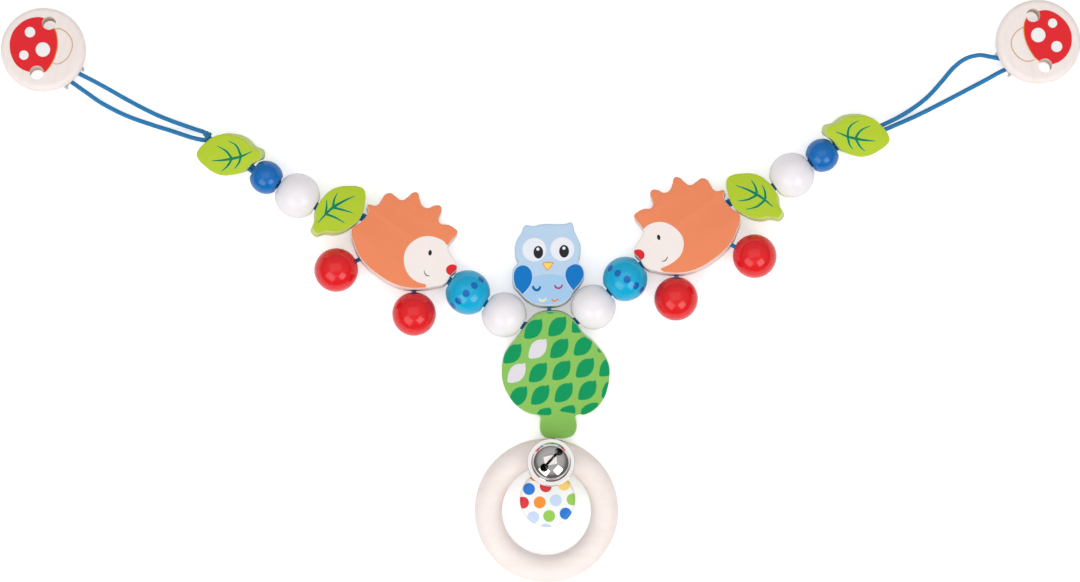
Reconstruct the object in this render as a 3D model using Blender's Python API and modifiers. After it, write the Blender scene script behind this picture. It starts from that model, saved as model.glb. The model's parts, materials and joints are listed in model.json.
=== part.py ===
"""Pram chain toy: wooden beads and animals on a doubled elastic cord between two clips.

Metres, +Z up. The toy lies on a table and is seen from above, so +Y is the top of that view.
Every arm is a chain of links. A link is one stretch of cord and the piece threaded on it, and
its own frame has +X along the cord, away from the tree, with its origin in the gap before it.
"""

import math

import bmesh
import bpy
from mathutils import Matrix, Vector

MM = 0.001

# Clearances and faceting
CLEARANCE = 0.3 * MM        # between a piece and what carries it
LINK_GAP = 0.5 * MM         # between two neighbours on the cord
OVERRUN = 2.0 * MM          # how far a cutter runs past the face it cuts
MERGE = 0.01 * MM
BEAD_STEPS = 18
BEAD_ARC_STEPS = 8
BORE_SIDES = 12
CORD_SIDES = 8
OUTLINE_STEPS = 2

# The cord and its bores
STRAND_DIAMETER = 2.0 * MM
CORD_END = 0.65 * MM        # a link's cord stops this far from the joints at its ends
TREE_CORD_END = 1.8 * MM    # the same for the cord in the tree, which bends more at its mouths
BORE_DIAMETER = 4.8 * MM
LEG_BORE_DIAMETER = 2.8 * MM
BEAD_FLAT_RADIUS = 4.5 * MM
LEG_FLAT_RADIUS = 2.5 * MM

# Beads
WHITE_DIAMETER = 22.2 * MM
SPOTTED_DIAMETER = 22.0 * MM
RED_DIAMETER = 21.6 * MM
BLUE_DIAMETER = 16.6 * MM
RED_BORE_DEPTH = 14.0 * MM

# Flat wooden figures
PLATE_THICKNESS = 9.5 * MM
PLATE_ROUNDING = 0.9 * MM
HEDGEHOG_LINK = {"left": 52.3 * MM, "right": 51.8 * MM}
HEDGEHOG_REACH = 26.0 * MM      # unit of the outline's shares along the bore
HEDGEHOG_HEIGHT = 26.3 * MM     # unit of its shares across the bore
LEAF_LENGTH = 32.7 * MM
LEAF_HALF_WIDTH = 10.2 * MM
INNER_LEAF_LINK = {"left": 22.8 * MM, "right": 22.9 * MM}
OUTER_LEAF_LINK = {"left": 25.7 * MM, "right": 23.5 * MM}
LEG_BORE_DEPTH = 2.0 * MM
LEG_HOLD = 0.6 * MM             # how deep a leg cord sits in the hedgehog

# The tree in the middle, about the middle of its crown
TREE_HEIGHT = 63.0 * MM
TREE_WIDTH = 52.6 * MM
TRUNK_END_SHARE = 0.57          # from the crown's middle to the trunk's end
TREE_TRUNK_DROP = TRUNK_END_SHARE * TREE_HEIGHT
TREE_PLACE = Vector((6.2 * MM, -35.5 * MM))
TRUNK_MOUTH_X = 0.0
TOP_BORE_DEPTH = 3.0 * MM
TRUNK_BORE_DEPTH = 12.0 * MM

# The owl above the tree
OWL_HEIGHT = 41.4 * MM
OWL_WIDTH = 35.4 * MM
OWL_BORE_DEPTH = 14.0 * MM
OWL_CORD_LENGTH = 9.0 * MM
OWL_SHIFT = -1.9 * MM           # from the tree's middle line
OWL_GAP = 1.6 * MM              # the owl leans back from the tree's top

# The grasping ring, the disc in it and the bell on it
RING_DIAMETER = 70.0 * MM
RING_TUBE = 13.4 * MM
RING_TURN = math.radians(-5.2)  # the ring hangs toward the left of the view
RING_STEPS = 40
RING_TUBE_STEPS = 12
RING_GAP = 0.6 * MM
DISC_DIAMETER = 27.0 * MM
DISC_THICKNESS = 9.5 * MM
DISC_ROUNDING = 2.2 * MM
DISC_DROP = 2.6 * MM            # cord that shows between the ring and the disc
DISC_HOLD = 18.0 * MM           # how deep the cord sits in the disc
DISC_STEPS = 32
BELL_DIAMETER = 20.4 * MM
BELL_WALL = 0.6 * MM
BELL_FLANGE_DIAMETER = 23.3 * MM
BELL_FLANGE_THICKNESS = 0.7 * MM
BELL_STEPS = 24
BELL_TILT = math.radians(11.5)
BELL_INSET = 4.2 * MM           # from the ring's crest toward its middle
BELL_HOLE_DIAMETER = 3.9 * MM
BELL_HOLE_SPACING = 10.4 * MM
BELL_SLIT = 1.3 * MM
BELL_SLOT_TURN = math.radians(53)
SHANK_WIRE = 1.0 * MM
SHANK_EYE = 3.0 * MM            # inner width of the bell's wire eye
CLAPPER_DIAMETER = 6.0 * MM

# The clips
CLIP_DISC_DIAMETER = 41.0 * MM
CLIP_DISC_THICKNESS = 8.0 * MM
CLIP_DISC_ROUNDING = 2.4 * MM
VENT_DIAMETER = 6.6 * MM
VENT_SPACING = 25.4 * MM
SHEET = 1.0 * MM
CLIP_WIDTH = 13.0 * MM
EYE_TO_DISC = 18.3 * MM
EYE_TO_PIVOT = 32.5 * MM
NOSE_REACH = 3.0 * MM           # frame past the pivot
ROD_DIAMETER = 1.6 * MM
ROD_HEIGHT = 3.6 * MM           # above the underside of the frame
PLATE_START = 4.0 * MM          # frame floor, from the eye rod
PIVOT_HEIGHT = 4.4 * MM
PIVOT_DIAMETER = 1.5 * MM
CHEEK_LENGTH = 7.0 * MM
LEVER_WIDTH = 9.6 * MM
LEVER_START = 6.0 * MM
LEVER_TOP = 6.9 * MM
HUB_DIAMETER = 4.2 * MM
TOE_REACH = 5.0 * MM
TOE_THICKNESS = 1.1 * MM
PAD_LENGTH = 9.0 * MM
PAD_THICKNESS = 1.1 * MM
PAD_TOOTH = 0.6 * MM
PAD_TEETH = 4
PAD_TO_PIVOT = 3.4 * MM
CHEEK_RIM = 1.65 * MM           # sheet round the pivot's hole
EAR_RIM = 0.35 * MM             # sheet behind the rod

# Where each arm goes: heading of every link above the outward horizontal, in degrees, and the
# height of the cord line in every gap, from the tree's mouth to the leaf's outer mouth
ARM_PIECES = ("inner_white_bead", "spotted_bead", "hedgehog", "inner_leaf",
              "outer_white_bead", "small_blue_bead", "outer_leaf")
HEADINGS = {
    "left": (32.0, 31.5, 36.5, 12.3, 30.5, 30.5, 35.0),
    "right": (42.6, 40.3, 35.5, 19.1, 34.0, 32.0, 22.0),
}
CORD_HEIGHTS = (11.2 * MM, 11.2 * MM, 10.9 * MM, 8.4 * MM, 11.1 * MM, 11.2 * MM, 10.6 * MM, 7.8 * MM)
TREE_MOUTH_SHARES = {"left": (-0.2849, 0.2947), "right": (0.2250, 0.3302)}
TREE_MOUTHS = {
    side: Vector((across * TREE_WIDTH, up * TREE_HEIGHT)) for side, (across, up) in TREE_MOUTH_SHARES.items()
}
HEDGEHOG_ROLL = math.radians(10)
INNER_LEAF_ROLL = math.radians(12)
OUTER_LEAF_ROLL = math.radians(-11)
INNER_LEAF_TURN = {"left": math.radians(127), "right": math.radians(125.5)}
OUTER_LEAF_TURN = {"left": math.radians(-34), "right": math.radians(-29.5)}
# How far a leaf's middle is off the middle of its link, along and across the cord
INNER_LEAF_SHIFT = {"left": (0.65 * MM, -0.2 * MM), "right": (1.25 * MM, -2.2 * MM)}
OUTER_LEAF_SHIFT = {"left": (0.4 * MM, -0.2 * MM), "right": (-0.15 * MM, 1.9 * MM)}

# Loops from the outer leaves to the clips, each in its own frame: +X to the clip, +Y the side
# that is the top of the view, +Z up from the table
LOOP_HEADINGS = {"left": 24.6, "right": 27.8}
CLIP_HEADINGS = {"left": 38.0, "right": 30.0}
CLIP_PITCH = math.radians(5)
CLIP_ROLL = {"left": math.radians(11), "right": math.radians(7)}
VENT_HEADINGS = {"left": 102.0, "right": 102.0}
LOOP_LENGTH = {"left": 73.0 * MM, "right": 68.4 * MM}
LOOP_SPACING = 5.0 * MM         # between the points of a loop's tube

# Outline shares, chosen by hand: (along, across)
HEDGEHOG_SHARES = (
    (1.075, 0.20), (0.93, 0.31), (0.93, 0.46), (0.93, 0.57), (0.86, 0.653), (0.76, 0.658),
    (0.61, 0.673), (0.565, 0.785), (0.54, 0.898), (0.46, 0.959), (0.34, 0.877), (0.23, 0.816),
    (0.14, 0.836), (0.07, 0.949), (-0.03, 1.015), (-0.11, 0.959), (-0.17, 0.785), (-0.23, 0.75),
    (-0.36, 0.816), (-0.49, 0.836), (-0.585, 0.816), (-0.61, 0.724), (-0.60, 0.60), (-0.62, 0.47),
    (-0.74, 0.39), (-0.93, 0.315), (-1.0, 0.235), (-0.985, 0.11), (-0.985, -0.115),
    (-0.88, -0.26), (-0.70, -0.44), (-0.50, -0.59), (-0.22, -0.70), (0.10, -0.735),
    (0.38, -0.72), (0.62, -0.655), (0.82, -0.54), (0.98, -0.42), (1.04, -0.30), (0.985, -0.155),
    (0.975, -0.10), (0.975, 0.08), (1.02, 0.14),
)
LEAF_HALF_SHARES = (
    (0.02, 0.22), (0.085, 0.325), (0.14, 0.41), (0.225, 0.69), (0.34, 0.895), (0.46, 0.98),
    (0.60, 1.0), (0.735, 0.87), (0.87, 0.57), (0.965, 0.27),
)
TREE_SHARES = (
    (0.0, 0.417), (0.07, 0.41), (0.135, 0.387), (0.188, 0.35), (0.299, 0.225), (0.335, 0.205),
    (0.42, 0.135), (0.49, 0.055), (0.522, -0.016), (0.522, -0.10), (0.505, -0.185),
    (0.465, -0.27), (0.385, -0.35), (0.30, -0.385), (0.215, -0.394), (0.21, -0.41),
    (0.222, -0.45), (0.218, -0.50), (0.19, -0.545), (0.12, -TRUNK_END_SHARE), (0.0, -TRUNK_END_SHARE),
    (-0.05, -TRUNK_END_SHARE), (-0.105, -0.545), (-0.125, -0.50), (-0.125, -0.45), (-0.12, -0.41),
    (-0.135, -0.396), (-0.22, -0.378), (-0.32, -0.33), (-0.405, -0.25), (-0.46, -0.155), (-0.478, -0.045),
    (-0.458, 0.07), (-0.415, 0.135), (-0.344, 0.204), (-0.22, 0.345), (-0.168, 0.386),
    (-0.085, 0.411),
)
OWL_SHARES = (
    (0.0, 0.0), (0.15, 0.016), (0.275, 0.085), (0.345, 0.175), (0.44, 0.275), (0.485, 0.365),
    (0.46, 0.455), (0.405, 0.52), (0.43, 0.61), (0.436, 0.71), (0.40, 0.80), (0.352, 0.895),
    (0.335, 0.965), (0.298, 1.0), (0.235, 0.983), (0.11, 0.976), (-0.02, 0.98), (-0.14, 0.97),
    (-0.21, 0.953), (-0.285, 0.963), (-0.345, 0.955), (-0.385, 0.875), (-0.445, 0.79),
    (-0.477, 0.70), (-0.467, 0.60), (-0.435, 0.515), (-0.495, 0.44), (-0.513, 0.345),
    (-0.49, 0.24), (-0.42, 0.17), (-0.34, 0.095), (-0.20, 0.022),
)

# Places of the hedgehog's leg holes and of the beads' middles, as shares like its outline
LEG_MOUTH_SHARES = {"front": (-0.60, -0.555), "rear": (0.58, -0.675)}
LEG_BEAD_SHARES = {"front": (-0.849, -0.891), "rear": (0.81, -1.097)}

COLOURS = {
    "white": ((0.86, 0.84, 0.85), 0.25, 0.0),
    "light_blue": ((0.0, 0.45, 0.75), 0.2, 0.0),
    "dark_blue": ((0.0, 0.12, 0.45), 0.2, 0.0),
    "red": ((0.75, 0.01, 0.015), 0.2, 0.0),
    "orange": ((0.87, 0.26, 0.12), 0.45, 0.0),
    "leaf_green": ((0.45, 0.63, 0.04), 0.45, 0.0),
    "tree_green": ((0.27, 0.56, 0.1), 0.45, 0.0),
    "pale_blue": ((0.48, 0.68, 0.87), 0.45, 0.0),
    "wood": ((0.88, 0.77, 0.69), 0.5, 0.0),
    "cord": ((0.0, 0.16, 0.45), 0.8, 0.0),
    "chrome": ((0.7, 0.7, 0.7), 0.12, 1.0),
    "steel": ((0.55, 0.55, 0.55), 0.3, 1.0),
    "plastic": ((0.9, 0.9, 0.88), 0.4, 0.0),
}


def clear_scene():
    for obj in list(bpy.data.objects):
        bpy.data.objects.remove(obj, do_unlink=True)


def new_collection(name):
    collection = bpy.data.collections.new(name)
    bpy.context.scene.collection.children.link(collection)
    return collection


def material(name):
    found = bpy.data.materials.get(name)
    if found:
        return found
    colour, roughness, metallic = COLOURS[name]
    made = bpy.data.materials.new(name)
    made.use_nodes = True
    shader = made.node_tree.nodes["Principled BSDF"]
    shader.inputs["Base Color"].default_value = (*colour, 1.0)
    shader.inputs["Roughness"].default_value = roughness
    shader.inputs["Metallic"].default_value = metallic
    return made


clear_scene()
PARTS = new_collection("pram_chain_toy")
CUTTERS = new_collection("cutters")
PLACES = {}


def put(obj, place, parent=None):
    """Set an object at a place given in the toy's frame, under a parent that is placed already."""
    PLACES[obj.name] = place
    if parent:
        obj.parent = parent
        obj.matrix_basis = PLACES[parent.name].inverted() @ place
    else:
        obj.matrix_basis = place
    return obj


def anchor(name, place, parent=None):
    """An empty on a joint."""
    empty = bpy.data.objects.new(name, None)
    PARTS.objects.link(empty)
    return put(empty, place, parent)


def part(name, mesh, finish, place, parent):
    obj = bpy.data.objects.new(name, mesh)
    PARTS.objects.link(obj)
    mesh.materials.clear()
    mesh.materials.append(material(finish))
    mesh.shade_smooth()
    mesh.set_sharp_from_angle(angle=math.radians(35))
    return put(obj, place, parent)


def turn(angle, axis):
    return Matrix.Rotation(angle, 4, axis)


def shift(x=0.0, y=0.0, z=0.0):
    return Matrix.Translation((x, y, z))


ALONG_X = turn(math.radians(90), "Y")    # takes a shape made along Z onto +X
ALONG_Y = turn(math.radians(-90), "X")   # and onto +Y


def mesh_of(maker, name):
    """A mesh made by a function that fills a bmesh."""
    work = bmesh.new()
    maker(work)
    mesh = bpy.data.meshes.new(name)
    work.to_mesh(mesh)
    work.free()
    return mesh


def evaluated(obj):
    """The mesh of an object with its modifiers, or of a curve, welded into one closed skin."""
    bpy.context.view_layer.update()
    graph = bpy.context.evaluated_depsgraph_get()
    mesh = bpy.data.meshes.new_from_object(obj.evaluated_get(graph))
    work = bmesh.new()
    work.from_mesh(mesh)
    bmesh.ops.remove_doubles(work, verts=work.verts, dist=MERGE)
    bmesh.ops.recalc_face_normals(work, faces=work.faces)
    work.to_mesh(mesh)
    work.free()
    bpy.data.objects.remove(obj, do_unlink=True)
    return mesh


def loose(name, data):
    obj = bpy.data.objects.new(name, data)
    bpy.context.scene.collection.objects.link(obj)
    return obj


def turned(name, profile, steps, closed=False):
    """A profile of (radius, height) points, down its outer side, turned about Z."""
    mesh = bpy.data.meshes.new(name)
    edges = [(i, i + 1) for i in range(len(profile) - 1)]
    if closed:
        edges.append((len(profile) - 1, 0))
    mesh.from_pydata([(radius, 0.0, height) for radius, height in profile], edges, [])
    obj = loose(name, mesh)
    screw = obj.modifiers.new("turn", "SCREW")
    screw.axis = "Z"
    screw.steps = steps
    screw.render_steps = steps
    screw.use_merge_vertices = True
    screw.merge_threshold = MERGE
    return evaluated(obj)


def arc(centre_radius, centre_height, radius, start, end, steps):
    """Points of a profile's arc, angles in degrees from the outward direction."""
    points = []
    for i in range(steps + 1):
        angle = math.radians(start + (end - start) * i / steps)
        points.append((centre_radius + radius * math.cos(angle), centre_height + radius * math.sin(angle)))
    return points


def bead_half(diameter, flat_radius=BEAD_FLAT_RADIUS):
    return math.sqrt((diameter / 2) ** 2 - flat_radius ** 2)


def bead_mesh(name, diameter):
    """A ball with two flats and a bore along Z."""
    edge = math.degrees(math.asin(BEAD_FLAT_RADIUS / (diameter / 2)))
    profile = arc(0.0, 0.0, diameter / 2, 90 - edge, edge - 90, BEAD_ARC_STEPS)
    half = bead_half(diameter)
    profile.append((BORE_DIAMETER / 2, -half))
    profile.append((BORE_DIAMETER / 2, half))
    return turned(name, profile, BEAD_STEPS, closed=True)


def blind_bead_mesh(name, diameter, depth):
    """A ball with one flat on +Z and a blind bore from it."""
    edge = math.degrees(math.asin(LEG_FLAT_RADIUS / (diameter / 2)))
    top = bead_half(diameter, LEG_FLAT_RADIUS)
    profile = [(0.0, top - depth), (LEG_BORE_DIAMETER / 2, top - depth), (LEG_BORE_DIAMETER / 2, top)]
    profile += arc(0.0, 0.0, diameter / 2, 90 - edge, -90, BEAD_ARC_STEPS + 1)[:-1]
    profile.append((0.0, -diameter / 2))
    return turned(name, profile, BEAD_STEPS)


def plate_mesh(name, outline, thickness, rounding):
    """A flat figure with rounded edges: a smooth closed outline through the given points."""
    curve = bpy.data.curves.new(name, "CURVE")
    curve.dimensions = "2D"
    curve.fill_mode = "BOTH"
    curve.extrude = thickness / 2 - rounding
    curve.bevel_depth = rounding
    curve.bevel_resolution = 0
    curve.offset = -rounding
    spline = curve.splines.new("BEZIER")
    spline.use_cyclic_u = True
    spline.resolution_u = OUTLINE_STEPS
    spline.bezier_points.add(len(outline) - 1)
    for point, place in zip(spline.bezier_points, outline):
        point.co = (place[0], place[1], 0.0)
        point.handle_left_type = "AUTO"
        point.handle_right_type = "AUTO"
    return evaluated(loose(name, curve))


def rod_mesh(name, radius, length, sides=BORE_SIDES):
    """A cylinder along Z from 0 to its length."""
    def make(work):
        bmesh.ops.create_cone(work, cap_ends=True, segments=sides, radius1=radius, radius2=radius,
                              depth=length, matrix=shift(z=length / 2))
    return mesh_of(make, name)


def tube_mesh(name, points, diameter, resolution):
    """A closed-ended tube along the given points."""
    curve = bpy.data.curves.new(name, "CURVE")
    curve.dimensions = "3D"
    curve.bevel_depth = diameter / 2
    curve.bevel_resolution = resolution
    curve.use_fill_caps = True
    spline = curve.splines.new("POLY")
    spline.points.add(len(points) - 1)
    for point, place in zip(spline.points, points):
        point.co = (*place, 1.0)
    return evaluated(loose(name, curve))


def box_mesh(name, low, high):
    middle = [(a + b) / 2 for a, b in zip(low, high)]
    size = [b - a for a, b in zip(low, high)]

    def make(work):
        scale = Matrix.Diagonal((*size, 1.0))
        bmesh.ops.create_cube(work, size=1.0, matrix=Matrix.Translation(middle) @ scale)
    return mesh_of(make, name)


def double_cord_mesh(name, length):
    """Two strands side by side along Z from 0 to the length, as one flat-oval rod."""
    radius = STRAND_DIAMETER / 2
    outline = []
    for side in (1, -1):
        for i in range(BORE_SIDES // 2):
            angle = math.pi * i / (BORE_SIDES // 2 - 1) - math.pi / 2
            outline.append((side * radius * (1 + math.cos(angle)), side * radius * math.sin(angle)))
    curve = bpy.data.curves.new(name, "CURVE")
    curve.dimensions = "2D"
    curve.fill_mode = "BOTH"
    curve.extrude = length / 2
    spline = curve.splines.new("POLY")
    spline.use_cyclic_u = True
    spline.points.add(len(outline) - 1)
    for point, place in zip(spline.points, outline):
        point.co = (place[0], place[1], 0.0, 1.0)
    mesh = evaluated(loose(name, curve))
    mesh.transform(shift(z=length / 2))
    return mesh


def united(name, shapes):
    """One closed skin round several shapes that share a frame."""
    base = loose(name, shapes[0])
    others = [loose(f"{name}_shape", shape) for shape in shapes[1:]]
    for other in others:
        step = base.modifiers.new(other.name, "BOOLEAN")
        step.operation = "UNION"
        step.solver = "EXACT"
        step.object = other
    mesh = evaluated(base)
    for other in others:
        bpy.data.objects.remove(other, do_unlink=True)
    return mesh


def moved(mesh, place):
    mesh.transform(place)
    return mesh


def boolean(obj, tool_mesh, place, operation, name):
    """Cut a part, or join to it, a shape placed in the part's own frame."""
    tool = bpy.data.objects.new(name, tool_mesh)
    CUTTERS.objects.link(tool)
    tool.hide_render = True
    tool.display_type = "WIRE"
    put(tool, PLACES[obj.name] @ place, obj)
    step = obj.modifiers.new(name, "BOOLEAN")
    step.operation = operation
    step.solver = "EXACT"
    step.object = tool


def cut(obj, tool_mesh, place, name):
    boolean(obj, tool_mesh, place, "DIFFERENCE", name)


def join(obj, tool_mesh, place, name):
    boolean(obj, tool_mesh, place, "UNION", name)


def bore(obj, start, direction, diameter, depth, name):
    """A round hole that starts outside the part and ends at its depth from the start point."""
    way = Vector((*direction, 0.0)).normalized()
    place = Matrix.Translation((*start, 0.0)) @ way.to_track_quat("Z", "Y").to_matrix().to_4x4()
    length = depth + OVERRUN
    cut(obj, rod_mesh(name, diameter / 2, length), place @ shift(z=-OVERRUN), name)


def frame_at(point, heading, pitch=0.0, side=1):
    """A frame at a point: +X out along the heading, +Z up. A heading is above the outward
    horizontal, and the left side is the right side turned round."""
    angle = math.radians(heading) if side > 0 else math.pi - math.radians(heading)
    return Matrix.Translation(point) @ turn(angle, "Z") @ turn(-pitch, "Y")


def in_units(shares, along, across, side=1):
    return [(u * along, v * across * side) for u, v in shares]


# The trunk's end is level with the ring's tube, and the cross bore with the beads' middles.
TREE_TILT = math.asin((CORD_HEIGHTS[0] - RING_TUBE / 2)
                      / (TREE_TRUNK_DROP + (TREE_MOUTHS["left"].y + TREE_MOUTHS["right"].y) / 2))
TREE_FRAME = (shift(TREE_PLACE.x, TREE_PLACE.y - TREE_TRUNK_DROP, RING_TUBE / 2)
              @ turn(TREE_TILT, "X") @ shift(y=TREE_TRUNK_DROP))


def tree_point(x, y):
    return TREE_FRAME @ Vector((x, y, 0.0))


def build_tree(root):
    """The tree: a cross bore between its shoulders, and blind bores in its top and trunk."""
    outline = in_units(TREE_SHARES, TREE_WIDTH, TREE_HEIGHT)
    mesh = plate_mesh("tree", outline, PLATE_THICKNESS, PLATE_ROUNDING)
    tree = part("tree", mesh, "tree_green", TREE_FRAME, root)
    left, right = TREE_MOUTHS["left"], TREE_MOUTHS["right"]
    across = right - left
    bore(tree, left, across, BORE_DIAMETER, across.length + OVERRUN, "cross_bore")
    top = TREE_SHARES[0][1] * TREE_HEIGHT
    bore(tree, (OWL_SHIFT, top), (0.0, -1.0), LEG_BORE_DIAMETER, TOP_BORE_DEPTH, "top_bore")
    bore(tree, (TRUNK_MOUTH_X, -TREE_TRUNK_DROP), (0.0, 1.0), LEG_BORE_DIAMETER,
         TRUNK_BORE_DEPTH, "trunk_bore")
    start = tree_point(*left)
    end = tree_point(*right)
    way = (end - start).normalized()
    length = (end - start).length - 2 * TREE_CORD_END
    place = Matrix.Translation(start + way * TREE_CORD_END) @ way.to_track_quat("Z", "X").to_matrix().to_4x4()
    part("tree_cord", double_cord_mesh("tree_cord", length), "cord", place, root)


def build_owl(root):
    """The owl stands on a short cord in the tree's top and leans back to the table."""
    top = TREE_SHARES[0][1] * TREE_HEIGHT
    foot = tree_point(OWL_SHIFT, top + OWL_GAP / 2)
    tilt = math.asin((foot.z - PLATE_THICKNESS / 2) / OWL_HEIGHT)
    place = Matrix.Translation(foot) @ turn(-tilt, "X")
    lift = anchor("owl_lift_joint", place, root)
    turning = anchor("owl_turn_joint", place, lift)
    outline = [(x, y + OWL_GAP / 2) for x, y in in_units(OWL_SHARES, OWL_WIDTH, OWL_HEIGHT)]
    mesh = plate_mesh("owl", outline, PLATE_THICKNESS, PLATE_ROUNDING)
    owl = part("owl", mesh, "pale_blue", place, turning)
    bore(owl, (0.0, 0.0), (0.0, 1.0), LEG_BORE_DIAMETER, OWL_BORE_DEPTH, "owl_bore")
    cord = rod_mesh("owl_cord", STRAND_DIAMETER / 2, OWL_CORD_LENGTH, sides=CORD_SIDES)
    part("owl_cord", cord, "cord", place @ shift(y=OWL_GAP / 2) @ ALONG_Y, lift)
    stub = rod_mesh("tree_top_cord", STRAND_DIAMETER / 2, TOP_BORE_DEPTH - CLEARANCE, sides=CORD_SIDES)
    stub_place = TREE_FRAME @ shift(OWL_SHIFT, top) @ turn(math.pi, "X") @ ALONG_Y
    part("tree_top_cord", stub, "cord", stub_place, root)


def ring_mesh(name):
    middle = (RING_DIAMETER - RING_TUBE) / 2
    profile = arc(middle, 0.0, RING_TUBE / 2, 180, -180, RING_TUBE_STEPS)[:-1]
    return turned(name, profile, RING_STEPS, closed=True)


def disc_mesh(name, diameter, thickness, rounding, steps):
    """A flat disc with well rounded rims, about Z."""
    reach = diameter / 2 - rounding
    rise = thickness / 2 - rounding
    profile = [(0.0, thickness / 2)]
    profile += arc(reach, rise, rounding, 90, 0, 2)
    profile += arc(reach, -rise, rounding, 0, -90, 2)
    profile.append((0.0, -thickness / 2))
    return turned(name, profile, steps)


def build_ring(root):
    """The ring hangs at the trunk on a cord that goes on through the ring to the dotted disc."""
    mouth = tree_point(TRUNK_MOUTH_X, -TREE_TRUNK_DROP)
    hold = TRUNK_BORE_DEPTH - CLEARANCE
    trunk_cord = rod_mesh("trunk_cord", STRAND_DIAMETER / 2, hold, sides=CORD_SIDES)
    part("trunk_cord", trunk_cord, "cord",
         TREE_FRAME @ shift(TRUNK_MOUTH_X, -TREE_TRUNK_DROP) @ ALONG_Y, root)
    pivot = mouth - Vector((0.0, RING_GAP / 2, 0.0))
    hanging = Matrix.Translation(pivot) @ turn(RING_TURN, "Z")
    lift = anchor("ring_lift_joint", hanging, root)
    ring_top = hanging @ shift(y=-RING_GAP / 2)
    ring_place = ring_top @ shift(y=-RING_DIAMETER / 2)
    ring = part("grasping_ring", ring_mesh("grasping_ring"), "wood", ring_place, lift)
    bore(ring, (0.0, RING_DIAMETER / 2), (0.0, -1.0), LEG_BORE_DIAMETER,
         RING_TUBE + OVERRUN, "ring_bore")
    reach = RING_TUBE + DISC_DROP + DISC_HOLD
    ring_cord = rod_mesh("ring_cord", STRAND_DIAMETER / 2, reach, sides=CORD_SIDES)
    part("ring_cord", ring_cord, "cord", ring_top @ turn(math.pi, "X") @ ALONG_Y, lift)
    build_disc(lift, ring_top @ shift(y=-RING_TUBE - DISC_DROP))
    build_bell(lift, ring_place)


def build_disc(lift, place):
    """The dotted disc turns on the ring's cord, which goes into a blind bore in its rim."""
    spin = anchor("disc_turn_joint", place, lift)
    mesh = disc_mesh("dotted_disc", DISC_DIAMETER, DISC_THICKNESS, DISC_ROUNDING, DISC_STEPS)
    disc = part("dotted_disc", mesh, "white", place @ shift(y=-DISC_DIAMETER / 2), spin)
    depth = DISC_HOLD + CLEARANCE
    bore(disc, (0.0, DISC_DIAMETER / 2), (0.0, -1.0), LEG_BORE_DIAMETER, depth, "disc_bore")


def bell_shell(name, upper):
    """One half of the bell with its flange, a thin shell turned about Z."""
    outer = BELL_DIAMETER / 2
    inner = outer - BELL_WALL
    seam = CLEARANCE / 2
    flange = BELL_FLANGE_DIAMETER / 2
    rim = seam + BELL_FLANGE_THICKNESS
    steps = 5
    outside_start = math.degrees(math.asin(rim / outer))
    inside_start = math.degrees(math.asin(seam / inner))
    profile = [(0.0, outer)]
    profile += arc(0.0, 0.0, outer, 90, outside_start, steps)[1:]
    profile += [(flange, rim), (flange, seam)]
    profile += arc(0.0, 0.0, inner, inside_start, 90, steps)[:-1]
    profile.append((0.0, inner))
    mesh = turned(name, profile, BELL_STEPS)
    if not upper:
        mesh.transform(turn(math.pi, "X"))
    return mesh


def build_bell(lift, ring_place):
    """The bell leans on the ring's crest, and its wire eye hooks the cord inside the ring."""
    crest = (RING_DIAMETER - RING_TUBE) / 2
    radius = BELL_DIAMETER / 2
    spacing = radius + RING_TUBE / 2 + CLEARANCE
    rise = math.sqrt(spacing ** 2 - BELL_INSET ** 2)
    place = ring_place @ shift(0.0, crest - BELL_INSET, rise) @ turn(-BELL_TILT, "X")
    eye_drop = rise / math.cos(BELL_TILT)
    rock = anchor("bell_rock_joint", place @ shift(z=-eye_drop), lift)
    top = part("bell_top", bell_shell("bell_top", True), "chrome", place, rock)
    for i, end in enumerate((1, -1)):
        hole = rod_mesh("bell_hole", BELL_HOLE_DIAMETER / 2, BELL_DIAMETER)
        hole_place = turn(BELL_SLOT_TURN, "Z") @ shift(x=end * BELL_HOLE_SPACING / 2)
        cut(top, hole, hole_place, f"bell_hole_{i}")
    reach = BELL_HOLE_SPACING / 2
    slit = box_mesh("bell_slit", (-reach, -BELL_SLIT / 2, radius / 2), (reach, BELL_SLIT / 2, BELL_DIAMETER))
    cut(top, slit, turn(BELL_SLOT_TURN, "Z"), "bell_slit")
    bottom = part("bell_bottom", bell_shell("bell_bottom", False), "chrome", place, rock)
    join(bottom, wire_eye_mesh("bell_wire_eye", radius - BELL_WALL / 2, eye_drop), Matrix(), "bell_wire_eye")
    rattle = anchor("clapper_joint", place, rock)
    rest = radius - BELL_WALL - CLEARANCE - CLAPPER_DIAMETER / 2

    def make(work):
        bmesh.ops.create_icosphere(work, subdivisions=2, radius=CLAPPER_DIAMETER / 2)
    part("bell_clapper", mesh_of(make, "bell_clapper"), "steel", place @ shift(z=-rest), rattle)


def wire_eye_mesh(name, start, drop):
    """A staple below the bell, its lower bend round the cord at the given drop."""
    bend = (SHANK_EYE + SHANK_WIRE) / 2
    points = [(bend, -start)] + arc(0.0, -drop, bend, 0, -180, 6) + [(-bend, -start)]
    return tube_mesh(name, [(x, 0.0, z) for x, z in points], SHANK_WIRE, 1)


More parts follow.
